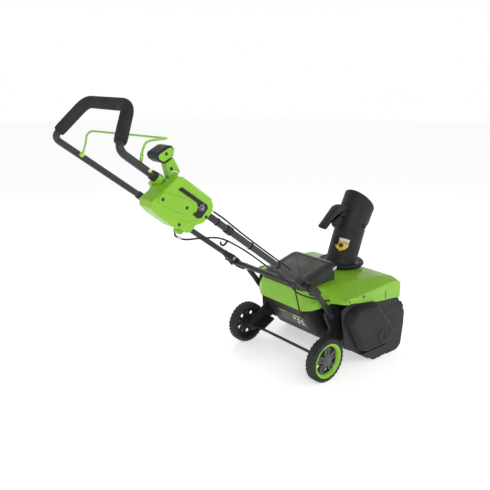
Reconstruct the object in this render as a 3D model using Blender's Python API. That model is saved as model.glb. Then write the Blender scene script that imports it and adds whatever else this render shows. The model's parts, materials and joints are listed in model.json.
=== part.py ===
"""Walk-behind cordless snow thrower: auger housing, two wheels, swivelling chute and folding handle.

Metres. +X is the machine's left, +Y points back to the operator, +Z is up. The machine is laid out
from the point on the ground under its wheel axle, and the empty "machine_frame" then shifts it so
that the middle of its footprint is the world origin.
"""

import math

import bmesh
import bpy
from mathutils import Matrix, Vector

# Whole machine
MID_Y = 0.1600            # middle of the overall length, measured from the axle
GAP = 0.0003              # air left between pieces that touch
WALL = 0.003              # moulded wall thickness

# Wheels and axle
WHEEL_R = 0.089
TYRE_INNER_R = 0.0715
TYRE_W = 0.044
WHEEL_X = 0.232           # middle plane of each wheel
AXLE_R = 0.006
AXLE_Z = WHEEL_R
AXLE_HALF = 0.2495

# Auger and its housing
AUGER_Y, AUGER_Z = -0.290, 0.125
PADDLE_R = 0.102
HOUSING_R = 0.112
HOUSING_HALF = 0.250
SIDE_IN, SIDE_OUT = HOUSING_HALF + GAP, 0.2548
SHAFT_R = 0.008
BEARING_R = 0.0175

# Belt drive on the right-hand side
DRIVE_FACE_X = -0.285
MOTOR_Y, MOTOR_Z = -0.150, 0.222
AUGER_PULLEY_R, MOTOR_PULLEY_R = 0.036, 0.0135
PULLEY_X0, PULLEY_X1 = -0.274, -0.262
MOTOR_R = 0.040

# Body, hood and battery bay
BODY_HALF = 0.144
BODY_CLEAR = 0.0034       # from the round housing, at the corners of the body's front
HOOD_HALF = 0.2545
BAY_HALF = 0.109
BAND_HALF = 0.118
BAY_FRONT, BAY_REAR = -0.1740, 0.0105
BAND_SLOPE = 0.27         # fall of the battery lid towards the operator

# Chute
CHUTE_Y = -0.342
NECK_R = 0.061            # clear radius of the passage
CHUTE_R = 0.0655          # outside of the chute tube
CHUTE_LEAN = math.radians(19.5)
RING_R = 0.097
CHUTE_BASE_Z = 0.3585
CHUTE_LEN = 0.160
DEFLECTOR_R = 0.0705
DEFLECTOR_LEAN = math.radians(26.6)        # the deflector rests tipped forward of the chute
DEFLECTOR_LEN = 0.105     # from its pivots to the middle of its mouth
MOUTH_CUT = math.radians(20.5)

# Handle
TUBE_R = 0.011
TUBE_WALL = 0.0016
HANDLE_SLOPE = math.atan2(0.6048, 0.7964)
FOLD_Y, FOLD_Z = 0.105, 0.4148
FOLD_X = 0.2055           # tube centre at the fold
HANDLE_X = 0.2105         # tube centre along the controls
LEG_X = 0.200
LEG_FOOT = (-0.0637, 0.2464)
LEG_TOP = (0.0360, 0.3698)
BRACKET_IN, BRACKET_OUT = 0.1820, 0.1955
CROSS_Y, CROSS_Z = 0.069, 0.384
HANDLE_TOP = (0.815, 0.9541)
GRIP_CORNER = (0.131, 0.733, 1.0625)
FOAM_R = 0.0182

# Controls
BOX_MID = Vector((0, 0.600, 0.7907))       # on the right tube's axis, at the control box
BOX_OUT_X, BOX_SPLIT_X, BOX_IN_X = -0.262, -0.2108, -0.192
LEVER_PIVOT = (0.096, 0.0245)              # along and above the tube
BAIL_Y, BAIL_Z = 0.730, 0.8943
BAIL_X = 0.1955
WIRE_R = 0.0032

UP_TUBE = Vector((0, math.cos(HANDLE_SLOPE), math.sin(HANDLE_SLOPE)))
OFF_TUBE = Vector((0, -math.sin(HANDLE_SLOPE), math.cos(HANDLE_SLOPE)))

# Joint places
FIXED = Vector((0, 0, 0))
AXLE = Vector((0, 0, AXLE_Z))
AUGER = Vector((0, AUGER_Y, AUGER_Z))
MOTOR = Vector((0, MOTOR_Y, MOTOR_Z))
CHUTE = Vector((0, CHUTE_Y, CHUTE_BASE_Z))
LEAN = Vector((0, -math.sin(CHUTE_LEAN), math.cos(CHUTE_LEAN)))
TILT = CHUTE + LEAN * (CHUTE_LEN + 0.012)
TIPPED = Vector((0, -math.sin(DEFLECTOR_LEAN), math.cos(DEFLECTOR_LEAN)))
BEHIND = Vector((0, math.cos(DEFLECTOR_LEAN), math.sin(DEFLECTOR_LEAN)))
FOLD = Vector((0, FOLD_Y, FOLD_Z))
BAIL = Vector((0, BAIL_Y, BAIL_Z))
LEVER = BOX_MID + UP_TUBE * LEVER_PIVOT[0] + OFF_TUBE * LEVER_PIVOT[1]
LID = Vector((0, -0.1790, 0.4086))


# ---------------------------------------------------------------- scene and materials

def clear_scene():
    for obj in list(bpy.data.objects):
        bpy.data.objects.remove(obj, do_unlink=True)


def material(name, colour, roughness, metallic=0.0):
    look = bpy.data.materials.new(name)
    look.use_nodes = True
    shader = look.node_tree.nodes["Principled BSDF"]
    shader.inputs["Base Color"].default_value = (*colour, 1)
    shader.inputs["Roughness"].default_value = roughness
    shader.inputs["Metallic"].default_value = metallic
    look.diffuse_color = (*colour, 1)
    return look


# ---------------------------------------------------------------- shape helpers

def stack(loops, ring=False):
    """A closed body through loops of equally many points: capped at both ends, or joined end to end."""
    bm = bmesh.new()
    rows = [[bm.verts.new(point) for point in loop] for loop in loops]
    count = len(rows[0])
    pairs = list(zip(rows, rows[1:]))
    if ring:
        pairs.append((rows[-1], rows[0]))
    else:
        bm.faces.new(rows[0])
        bm.faces.new(list(reversed(rows[-1])))
    for low, high in pairs:
        for i in range(count):
            j = (i + 1) % count
            bm.faces.new((low[i], high[i], high[j], low[j]))
    bmesh.ops.recalc_face_normals(bm, faces=bm.faces)
    return bm


def at_x(outline, x):
    return [Vector((x, y, z)) for y, z in outline]


def prism(outline, x0, x1):
    """The (y, z) outline, extruded along X."""
    return stack([at_x(outline, x0), at_x(outline, x1)])


def offset(outline, distance):
    """The outline moved out by distance along its mitred corners (in when negative)."""
    area = sum(a[0] * b[1] - b[0] * a[1] for a, b in zip(outline, outline[1:] + outline[:1]))
    turn = 1 if area > 0 else -1
    moved = []
    for i, point in enumerate(outline):
        before = Vector(point) - Vector(outline[i - 1])
        after = Vector(outline[(i + 1) % len(outline)]) - Vector(point)
        n0 = Vector((before.y, -before.x)).normalized() * turn
        n1 = Vector((after.y, -after.x)).normalized() * turn
        mitre = (n0 + n1).normalized()
        reach = min(distance / max(mitre.dot(n0), 0.4), 3 * distance, key=abs)
        moved.append(tuple(Vector(point) + mitre * reach))
    return moved


def rounded(outline, radius, steps=3):
    """The 2-D outline with each corner replaced by a short curve."""
    points = []
    for i, corner in enumerate(outline):
        here = Vector(corner)
        to_last = Vector(outline[i - 1]) - here
        to_next = Vector(outline[(i + 1) % len(outline)]) - here
        cut_back = min(radius, 0.45 * to_last.length, 0.45 * to_next.length)
        a = here + to_last.normalized() * cut_back
        b = here + to_next.normalized() * cut_back
        for k in range(steps + 1):
            t = k / steps
            points.append(tuple(a * (1 - t) ** 2 + here * 2 * t * (1 - t) + b * t ** 2))
    return points


def fillet_path(corners, radii, steps=4):
    """A 3-D polyline whose inner corners are smooth curves of about the given radii."""
    points = [Vector(corners[0])]
    for i in range(1, len(corners) - 1):
        here = Vector(corners[i])
        a = here + (Vector(corners[i - 1]) - here).normalized() * radii[i - 1]
        b = here + (Vector(corners[i + 1]) - here).normalized() * radii[i - 1]
        for k in range(steps + 1):
            t = k / steps
            points.append(a * (1 - t) ** 2 + here * 2 * t * (1 - t) + b * t ** 2)
    points.append(Vector(corners[-1]))
    return points


def turned(profile, centre, direction, sides, ring=False):
    """A turned solid: profile holds (distance along direction, radius)."""
    direction = Vector(direction).normalized()
    side = direction.orthogonal().normalized()
    across = direction.cross(side)
    loops = []
    for along, radius in profile:
        loop = []
        for k in range(sides):
            angle = math.tau * (k + 0.5) / sides
            spoke = side * math.cos(angle) + across * math.sin(angle)
            loop.append(Vector(centre) + direction * along + spoke * radius)
        loops.append(loop)
    return stack(loops, ring)


def pipe_loops(path, radius, sides):
    """Circles of one radius along a 3-D path, carried without twist."""
    loops = []
    side = None
    for i, point in enumerate(path):
        ahead = path[min(i + 1, len(path) - 1)] - path[max(i - 1, 0)]
        ahead.normalize()
        if side is None:
            side = ahead.orthogonal().normalized()
        side = (side - ahead * side.dot(ahead)).normalized()
        across = ahead.cross(side)
        before = (point - path[max(i - 1, 0)]).normalized() if i else ahead
        stretch = 1 / max(before.dot(ahead), 0.8)
        loop = []
        for k in range(sides):
            angle = math.tau * k / sides
            loop.append(point + (side * math.cos(angle) + across * math.sin(angle)) * radius * stretch)
        loops.append(loop)
    return loops


def piece(name, bm, look, pivot=FIXED):
    """A named node whose origin is its joint's place."""
    bmesh.ops.recalc_face_normals(bm, faces=bm.faces)
    bmesh.ops.translate(bm, verts=bm.verts, vec=-pivot)
    mesh = bpy.data.meshes.new(name)
    bm.to_mesh(mesh)
    bm.free()
    mesh.materials.append(look)
    mesh.shade_smooth()
    mesh.set_sharp_from_angle(angle=math.radians(35))
    obj = bpy.data.objects.new(name, mesh)
    bpy.context.scene.collection.objects.link(obj)
    obj.parent = MACHINE
    obj.location = pivot
    return obj


def boolean(obj, bm, operation):
    """Cuts the shape from obj, or joins it to obj, by a modifier with a hidden helper."""
    count = len(obj.modifiers)
    helper = piece(f"{obj.name}_helper_{count}", bm, obj.data.materials[0], obj.location.copy())
    helper.hide_render = True
    helper.display_type = "WIRE"
    modifier = obj.modifiers.new(f"{operation.lower()}_{count}", "BOOLEAN")
    modifier.operation = operation
    modifier.solver = "EXACT"
    modifier.object = helper


def cut(obj, bm):
    boolean(obj, bm, "DIFFERENCE")


def join(obj, bm):
    boolean(obj, bm, "UNION")


def cord(name, route, radius, look, pivot):
    """A cable: a tube along a smooth curve through the route's points."""
    points = []
    ends = [route[0]] + route + [route[-1]]
    for i in range(1, len(ends) - 2):
        p0, p1, p2, p3 = (Vector(p) for p in ends[i - 1:i + 3])
        steps = max(2, round((p2 - p1).length / (7 * radius)))
        for k in range(steps):
            t = k / steps
            points.append(0.5 * (2 * p1 + (p2 - p0) * t + (2 * p0 - 5 * p1 + 4 * p2 - p3) * t * t
                                 + (3 * p1 - p0 - 3 * p2 + p3) * t ** 3))
    points.append(Vector(route[-1]))
    curve = bpy.data.curves.new(name, "CURVE")
    curve.dimensions = "3D"
    curve.bevel_depth = radius
    curve.bevel_resolution = 2
    curve.use_fill_caps = True
    spline = curve.splines.new("POLY")
    spline.points.add(len(points) - 1)
    for spot, point in zip(spline.points, points):
        spot.co = (*(point - pivot), 1)
    curve.materials.append(look)
    obj = bpy.data.objects.new(name, curve)
    bpy.context.scene.collection.objects.link(obj)
    obj.parent = MACHINE
    obj.location = pivot
    return obj


def on_box(u, n, x=0.0):
    """A point u along the handle tube and n above it, from the middle of the control box."""
    return BOX_MID + UP_TUBE * u + OFF_TUBE * n + Vector((x, 0, 0))


def box_outline(points):
    return [(p.y, p.z) for p in (on_box(u, n) for u, n in points)]


# ---------------------------------------------------------------- housing and drive

def housing_arc(radius, first, last, steps):
    spots = []
    for k in range(steps + 1):
        angle = math.radians(first + (last - first) * k / steps)
        spots.append((AUGER_Y + radius * math.cos(angle), AUGER_Z + radius * math.sin(angle)))
    return spots


def make_auger_housing(black):
    inner = housing_arc(HOUSING_R, -90, 90, 14)
    outer = housing_arc(HOUSING_R + WALL, -90, 90, 14)
    lip_low, lip_high = -0.372, -0.424
    section = [(lip_low, inner[0][1])] + inner + [(lip_high, inner[-1][1])]
    section += [(lip_high, outer[-1][1])] + outer[::-1] + [(lip_low, outer[0][1])]
    housing = piece("auger_housing", prism(section, -HOUSING_HALF, HOUSING_HALF), black)
    cut(housing, turned([(0.20, NECK_R), (0.27, NECK_R)], (0, CHUTE_Y, 0), (0, 0, 1), 32))
    steel_edge = [(-0.378, 0.0), (-0.318, 0.0), (-0.318, 0.0040), (-0.331, 0.0097), (-0.378, 0.0097)]
    piece("scraper_bar", prism(steel_edge, -HOUSING_HALF, HOUSING_HALF), LOOKS["rubber"])


def make_side_plates(black):
    front = [(-0.1100, 0.2940), (-0.1300, 0.2930), (-0.2000, 0.2775), (-0.2700, 0.2620), (-0.3200, 0.2568),
             (-0.3700, 0.2525), (-0.4180, 0.2470), (-0.4280, 0.2350), (-0.452, 0.205), (-0.473, 0.170),
             (-0.474, 0.110), (-0.465, 0.020), (-0.452, 0.008), (-0.435, 0.0), (-0.372, 0.0),
             (-0.362, 0.010), (-0.310, 0.010), (-0.300, 0.002), (-0.276, 0.004), (-0.212, 0.044),
             (-0.150, 0.080)]
    rear = {"left": [(-0.118, 0.100), (-0.111, 0.170), (-0.098, 0.235), (-0.090, 0.279)],
            "right": [(-0.084, 0.116), (-0.079, 0.170), (-0.066, 0.235), (-0.062, 0.279), (-0.078, 0.290)]}
    for side, tag in ((1, "left"), (-1, "right")):
        plate = piece(f"side_plate_{tag}", prism(front + rear[tag], side * SIDE_IN, side * SIDE_OUT), black)
        x0, x1 = side * (SIDE_IN - 0.01), side * (SIDE_OUT + 0.01)
        cut(plate, turned([(x0, BEARING_R + GAP), (x1, BEARING_R + GAP)], AUGER, (1, 0, 0), 24))
        if side < 0:
            cut(plate, turned([(x0, 0.0085), (x1, 0.0085)], MOTOR, (1, 0, 0), 16))
            ledge = [(-0.345, 0.060), (-0.336, 0.024), (-0.300, 0.012), (-0.236, 0.034), (-0.180, 0.064)]
            join(plate, prism(ledge, -SIDE_OUT + 0.002, -0.268))
        race = [(side * 0.2497, SHAFT_R + 0.0003), (side * 0.2559, SHAFT_R + 0.0003),
                (side * 0.2559, BEARING_R), (side * 0.2497, BEARING_R)]
        piece(f"auger_bearing_{tag}", turned(race, AUGER, (1, 0, 0), 24, ring=True), LOOKS["steel"])


def make_bearing_cap(black):
    profile = [(0.2562, 0.0340), (0.2620, 0.0340), (0.2700, 0.0240), (0.2735, 0.0120),
               (0.2705, 0.0100), (0.2672, 0.0205), (0.2562, 0.0305)]
    piece("bearing_cap_left", turned(profile, AUGER, (1, 0, 0), 24, ring=True), black)


def drive_outline():
    return [(-0.135, 0.269), (-0.198, 0.269), (-0.247, 0.261), (-0.342, 0.158), (-0.355, 0.131),
            (-0.344, 0.100), (-0.310, 0.079), (-0.205, 0.081), (-0.175, 0.094), (-0.090, 0.229),
            (-0.102, 0.256)]


def make_drive_cover(black):
    face = drive_outline()
    base = offset(face, 0.013)
    x_base, x_edge = -SIDE_OUT - GAP, DRIVE_FACE_X + 0.012
    loops = [at_x(offset(face, -0.004), DRIVE_FACE_X), at_x(face, DRIVE_FACE_X + 0.003),
             at_x(offset(face, 0.008), x_edge), at_x(base, x_base),
             at_x(offset(base, -0.004), x_base), at_x(offset(face, 0.0045), x_edge + 0.001),
             at_x(offset(face, -0.002), DRIVE_FACE_X + 0.006)]
    cover = piece("drive_cover", stack(loops), black)
    boss = [(-0.2840, 0.030), (-0.2875, 0.027), (-0.2875, 0.016), (-0.2842, 0.014)]
    join(cover, turned(boss, AUGER, (1, 0, 0), 24))


def make_drive(steel):
    def groove(radius):
        rim = radius + 0.004
        return [(PULLEY_X0, rim), (PULLEY_X0 + 0.0015, rim), (PULLEY_X0 + 0.002, radius),
                (PULLEY_X1 - 0.002, radius), (PULLEY_X1 - 0.0015, rim), (PULLEY_X1, rim)]

    bore = SHAFT_R + GAP
    wheel = [(PULLEY_X0, bore)] + groove(AUGER_PULLEY_R) + [(PULLEY_X1, bore)]
    piece("auger_pulley", turned(wheel, AUGER, (1, 0, 0), 24, ring=True), steel, AUGER)
    rotor = groove(MOTOR_PULLEY_R) + [(PULLEY_X1, 0.005), (-0.118, 0.005), (-0.118, 0.024),
                                      (-0.030, 0.024), (-0.030, 0.004), (-0.014, 0.004)]
    piece("motor_rotor", turned(rotor, MOTOR, (1, 0, 0), 16), steel, MOTOR)
    case = [(-0.126, 0.0058), (-0.126, 0.030), (-0.120, MOTOR_R), (-0.020, MOTOR_R), (-0.012, 0.026),
            (-0.012, 0.0046), (-0.020, 0.0046), (-0.026, 0.0290), (-0.121, 0.0290), (-0.121, 0.0058)]
    piece("motor_case", turned(case, MOTOR, (1, 0, 0), 24, ring=True), steel)
    make_belt()


def make_belt():
    """A flat loop round both pulleys, clear of them by a hair."""
    across = Vector((AUGER_Y - MOTOR_Y, AUGER_Z - MOTOR_Z))
    heading = math.atan2(across.y, across.x)
    clear = 0.0004

    def loop(extra):
        big, small = AUGER_PULLEY_R + clear + extra, MOTOR_PULLEY_R + clear + extra
        lean = math.asin((AUGER_PULLEY_R - MOTOR_PULLEY_R) / across.length)
        spots = []
        for centre, radius, first, last in (
                ((AUGER_Y, AUGER_Z), big, -math.pi / 2 - lean, math.pi / 2 + lean),
                ((MOTOR_Y, MOTOR_Z), small, math.pi / 2 + lean, 1.5 * math.pi - lean)):
            for k in range(13):
                angle = heading + first + (last - first) * k / 12
                reach = radius / math.cos((last - first) / 24)
                spots.append((centre[0] + reach * math.cos(angle), centre[1] + reach * math.sin(angle)))
        return spots

    x0, x1 = PULLEY_X0 + 0.0028, PULLEY_X1 - 0.0028
    loops = [at_x(loop(0.0), x0), at_x(loop(0.0030), x0), at_x(loop(0.0030), x1), at_x(loop(0.0), x1)]
    piece("drive_belt", stack(loops, ring=True), LOOKS["rubber"])


def make_auger(steel, rubber):
    """The shaft with its middle paddle and end arms welded on, and a rubber blade each side."""
    hub_r, half_plate, arm_x = 0.016, 0.075, 0.232
    shaft = piece("auger_shaft", turned([(-0.2765, SHAFT_R), (0.2660, SHAFT_R)], AUGER, (1, 0, 0), 16),
                  steel, AUGER)

    def flat_bar(half_y, half_z):
        return [(AUGER_Y - half_y, AUGER_Z - half_z), (AUGER_Y + half_y, AUGER_Z - half_z),
                (AUGER_Y + half_y, AUGER_Z + half_z), (AUGER_Y - half_y, AUGER_Z + half_z)]

    join(shaft, prism(flat_bar(0.003, 0.096), -half_plate, half_plate))
    for side, tag in ((1, "left"), (-1, "right")):
        join(shaft, turned([(side * 0.222, hub_r), (side * 0.242, hub_r)], AUGER, (1, 0, 0), 16))
        join(shaft, prism(flat_bar(0.092, 0.009), side * arm_x, side * (arm_x + 0.004)))
        make_auger_blade(f"auger_blade_{tag}", side, rubber)


def make_auger_blade(name, side, rubber):
    """A rubber flight: three eighths of a turn from the side arm in to the edge of the middle paddle."""
    inner, outer, half = 0.058, PADDLE_R, 0.0035
    x_far, x_near, steps = 0.2312, 0.0760, 12
    loops = []
    for k in range(steps + 1):
        t = k / steps
        angle = t * math.pi * 1.5
        x = side * (x_far + (x_near - x_far) * t)
        spoke = Vector((0, math.cos(angle), math.sin(angle)))
        lean = Vector((side * half, 0, 0))
        spots = ((inner, -1), (inner, 1), (outer, 1), (outer, -1))
        loops.append([AUGER + Vector((x, 0, 0)) + spoke * r + lean * w for r, w in spots])
    for loop, shift in ((loops[0], -half), (loops[-1], half)):
        for point in loop:
            point.x += side * shift
    piece(name, stack(loops), rubber, AUGER)


# ---------------------------------------------------------------- body, hood and battery

def body_front(z, clear):
    """How far forward the body may reach at height z, behind the round housing."""
    reach = HOUSING_R + WALL + clear
    lift = min(abs(z - AUGER_Z), 0.87 * reach)
    return AUGER_Y + math.sqrt(reach * reach - lift * lift)


def body_loop(z, rear, inset):
    half, back = BODY_HALF - inset, rear - inset
    front = body_front(z, BODY_CLEAR + inset)
    corner = min(0.040, 0.45 * (back - front))
    points = [(-half, front), (half, front)]
    for side in (1, -1):
        for k in range(5):
            angle = math.radians(90 * k / 4)
            turn = math.cos(angle) if side > 0 else math.sin(angle)
            fall = math.sin(angle) if side > 0 else math.cos(angle)
            points.append((side * (half - corner * (1 - turn)), back - corner * (1 - fall)))
    return [Vector((x, y, z)) for x, y in points]


def make_lower_body(black):
    heights = [(0.074, -0.152), (0.112, -0.088), (0.125, -0.079), (0.160, -0.054), (0.200, -0.026),
               (0.235, -0.002), (0.262, 0.012)]
    outer = [body_loop(z, rear, 0.0) for z, rear in heights]
    inner = [body_loop(z, rear, WALL) for z, rear in heights[1:]]
    low = [Vector((p.x, p.y, 0.112 + 0.001)) for p in inner[0]]
    body = piece("lower_body", stack(outer + inner[::-1][:-1] + [low]), black)
    cut(body, turned([(-0.16, 0.0085), (-0.13, 0.0085)], MOTOR, (1, 0, 0), 16))
    box = [(-0.140, 0.128), (-0.085, 0.128), (-0.045, 0.185), (-0.140, 0.185)]
    piece("motor_controller", prism(box, 0.020, 0.110), LOOKS["dark_steel"])


def hood_stations():
    """(y, half-width, hem z, shoulder z, roof half-width, roof z) from the front lip to the rear hem."""
    return [(-0.4330, 0.2490, 0.2420, 0.2425, 0.190, 0.2425),
            (-0.4345, 0.2520, 0.2480, 0.2940, 0.200, 0.3040),
            (-0.4290, HOOD_HALF, 0.2485, 0.3130, 0.212, 0.3230),
            (-0.4100, HOOD_HALF, 0.2500, 0.3250, 0.220, 0.3365),
            (-0.3700, HOOD_HALF, 0.2540, 0.3280, 0.218, 0.3430),
            (-0.3300, HOOD_HALF, 0.2580, 0.3260, 0.208, 0.3466),
            (-0.2700, HOOD_HALF, 0.2635, 0.3220, 0.190, 0.3466),
            (-0.2000, HOOD_HALF, 0.2790, 0.3200, 0.168, 0.3466),
            (-0.1300, HOOD_HALF, 0.2945, 0.3180, 0.152, 0.3450),
            (-0.0950, HOOD_HALF, 0.2980, 0.3160, 0.145, 0.3430),
            (-0.0840, 0.2500, 0.2970, 0.3100, 0.142, 0.3420),
            (-0.0740, 0.1900, 0.2880, 0.3060, 0.140, 0.3410),
            (-0.0450, 0.1800, 0.2800, 0.3000, 0.136, 0.3400),
            (-0.0200, 0.1700, 0.2720, 0.2960, 0.130, 0.3390),
            (0.0000, 0.1500, 0.2630, 0.2900, 0.124, 0.3380),
            (0.0150, 0.1220, 0.2570, 0.2850, 0.114, 0.3375),
            (0.0190, 0.1080, 0.2560, 0.2565, 0.100, 0.2570)]


def make_hood(green):
    bm = bmesh.new()
    rows = []
    for y, half, hem, shoulder, roof_half, roof in hood_stations():
        mid_x, mid_z = 0.42 * half + 0.58 * roof_half, 0.35 * shoulder + 0.65 * roof
        side = [(half, hem), (half * 0.9985, shoulder), (mid_x, mid_z), (roof_half, roof),
                (roof_half * 0.5, roof)]
        row = [Vector((x, y, z)) for x, z in side] + [Vector((0, y, roof))]
        row += [Vector((-x, y, z)) for x, z in side[::-1]]
        rows.append([bm.verts.new(point) for point in row])
    for low, high in zip(rows, rows[1:]):
        for i in range(len(low) - 1):
            bm.faces.new((low[i], low[i + 1], high[i + 1], high[i]))
    bmesh.ops.recalc_face_normals(bm, faces=bm.faces)
    if sum(face.normal.z for face in bm.faces) < 0:
        bmesh.ops.reverse_faces(bm, faces=bm.faces)
    mesh = bpy.data.meshes.new("hood")
    bm.to_mesh(mesh)
    bm.free()
    mesh.materials.append(green)
    mesh.shade_smooth()
    mesh.set_sharp_from_angle(angle=math.radians(35))
    hood = bpy.data.objects.new("hood", mesh)
    bpy.context.scene.collection.objects.link(hood)
    hood.parent = MACHINE
    shell = hood.modifiers.new("thickness", "SOLIDIFY")
    shell.thickness = WALL
    shell.offset = -1
    shell.use_even_offset = True
    cut(hood, turned([(0.30, 0.0660), (0.38, 0.0660)], (0, CHUTE_Y, 0), (0, 0, 1), 32))
    bay = rounded([(-BAY_HALF, BAY_FRONT), (BAY_HALF, BAY_FRONT), (BAY_HALF, BAY_REAR),
                   (-BAY_HALF, BAY_REAR)], 0.012)
    bay = offset(bay, 0.0008)
    cut(hood, stack([[Vector((x, y, z)) for x, y in bay] for z in (0.30, 0.36)]))


def band_z(y):
    """Underside of the battery tray's rim, which follows the hood."""
    return 0.3383 + (0.016 - y) * 0.0530


def rim_z(y):
    """Top of the battery tray's rim, under the lid."""
    return 0.3540 + (0.016 - y) * BAND_SLOPE


def plan(half, front, rear, corner):
    return rounded([(-half, front), (half, front), (half, rear), (-half, rear)], corner)


def make_battery_bay(dark):
    floor, wall = 0.2680, 0.0028
    band = plan(BAND_HALF, -0.1765, 0.0160, 0.016)
    well = plan(BAY_HALF, BAY_FRONT, BAY_REAR, 0.012)
    inside = offset(well, -wall)
    loops = [[Vector((x, y, floor)) for x, y in well],
             [Vector((x, y, band_z(y))) for x, y in well],
             [Vector((x, y, band_z(y))) for x, y in band],
             [Vector((x, y, rim_z(y))) for x, y in band],
             [Vector((x, y, rim_z(y))) for x, y in inside],
             [Vector((x, y, floor + wall)) for x, y in inside]]
    piece("battery_tray", stack(loops), dark)
    pack = plan(0.075, -0.150, -0.010, 0.010)
    piece("battery_pack", stack([[Vector((x, y, z + (0.010 - y) * s)) for x, y in pack]
                                 for z, s in ((floor + wall + GAP, 0.0), (0.338, 0.22))]),
          LOOKS["battery"])
    base = plan(BAND_HALF, -0.1755, 0.0200, 0.018)
    top = offset(base, -0.014)
    lift = [(base, 0.0004), (base, 0.0070), (top, 0.0125)]
    loops = [[Vector((x, y, rim_z(y) + h)) for x, y in loop] for loop, h in lift]
    piece("battery_lid", stack(loops), dark, LID)
    pin = [(-0.090, 0.0025), (0.090, 0.0025)]
    piece("lid_hinge_pin", turned(pin, LID, (1, 0, 0), 10), LOOKS["steel"])


# ---------------------------------------------------------------- chute

def slant(along, radius, sides=28, tilt=1.0):
    """A circle square to the chute's lean, or level where tilt is 0."""
    lean = CHUTE_LEAN * tilt
    back = Vector((0, math.cos(lean), math.sin(lean)))
    centre = CHUTE + LEAN * along
    loop = []
    for k in range(sides):
        angle = math.tau * k / sides
        loop.append(centre + Vector((1, 0, 0)) * radius * math.cos(angle) + back * radius * math.sin(angle))
    return loop


def level(radius, z, sides=28):
    return [Vector((radius * math.cos(math.tau * k / sides),
                    CHUTE_Y + radius * math.sin(math.tau * k / sides), z)) for k in range(sides)]


def tipped(radius, along, sides=36):
    """A loop of the deflector: along(behind) gives each point's height above the pivots."""
    loop = []
    for k in range(sides):
        angle = math.tau * k / sides
        behind = radius * math.sin(angle)
        loop.append(TILT + Vector((radius * math.cos(angle), 0, 0)) + BEHIND * behind
                    + TIPPED * along(behind))
    return loop


def skirt(radius):
    """The deflector's lower edge: low behind, cut away in front so that it clears the chute as it tips."""
    return tipped(radius, lambda behind: -0.040 if behind > -0.005 else -0.0085 - 0.75 * behind)


def mouth(radius):
    return tipped(radius, lambda behind: DEFLECTOR_LEN + behind * math.tan(MOUTH_CUT))


def make_chute(black):
    seat_z, top_z = 0.3470, 0.3530
    collar = [level(NECK_R, 0.2405), level(0.0640, 0.2405), level(0.0640, seat_z),
              level(0.093, seat_z), level(0.093, top_z), level(NECK_R, top_z)]
    piece("chute_collar", stack(collar, ring=True), black)
    low = top_z + 0.0004
    tube = [level(NECK_R, low), level(RING_R, low), level(RING_R, low + 0.0125),
            level(RING_R - 0.004, low + 0.0150), level(CHUTE_R + 0.006, low + 0.0130),
            slant(0.014, CHUTE_R, tilt=0.1),
            slant(0.040, CHUTE_R), slant(CHUTE_LEN, CHUTE_R), slant(CHUTE_LEN, CHUTE_R - WALL),
            slant(0.040, CHUTE_R - WALL), slant(0.004, CHUTE_R - WALL, tilt=0.1)]
    chute = piece("chute_tube", stack(tube, ring=True), black, CHUTE)
    wide = DEFLECTOR_R
    shell = [skirt(wide), mouth(wide), mouth(wide - WALL), skirt(wide - WALL)]
    deflector = piece("deflector_shell", stack(shell, ring=True), black, TILT)
    for side in (1, -1):
        boss = [(-0.0030, 0.0085), (0.0035, 0.0085), (0.0050, 0.0060)]
        join(deflector, turned(boss, TILT + Vector((side * wide, 0, 0)), (side, 0, 0), 12))
    base = CHUTE + LEAN * (CHUTE_LEN - 0.046)
    wall = base + Vector((0, CHUTE_R / math.cos(CHUTE_LEAN) - 0.0015, 0))
    rack = [wall, wall + LEAN * 0.014 + Vector((0, 0.004, 0)), wall + Vector((0, 0.012, -0.002)),
            wall + LEAN * -0.020 + Vector((0, 0.004, 0))]
    join(chute, prism([(p.y, p.z) for p in rack], -0.012, 0.012))
    make_deflector_handle(black)


def make_deflector_handle(black):
    """A bent grip behind the deflector, with a squeeze trigger under its root."""

    def outline(spots):
        """(y, z) of places given as (height above the pivots, distance behind them)."""
        return [(p.y, p.z) for p in (TILT + TIPPED * along + BEHIND * behind for along, behind in spots)]

    grip = [(0.0560, 0.0730), (0.0530, 0.1000), (0.0440, 0.1250), (0.0300, 0.1420), (-0.0740, 0.1835),
            (-0.0780, 0.1640), (-0.0292, 0.1420), (-0.0080, 0.1330), (0.0040, 0.1130), (0.0060, 0.0730)]
    piece("deflector_handle", prism(outline(grip), -0.019, 0.019), black, TILT)
    trigger = [(0.0020, 0.0760), (0.0015, 0.1040), (-0.0280, 0.1215), (-0.0460, 0.1070), (-0.0470, 0.0790)]
    hinge = TILT + TIPPED * -0.004 + BEHIND * 0.088
    piece("deflector_trigger", prism(outline(trigger), -0.012, 0.012), black, hinge)


# ---------------------------------------------------------------- wheels and lower frame

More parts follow.
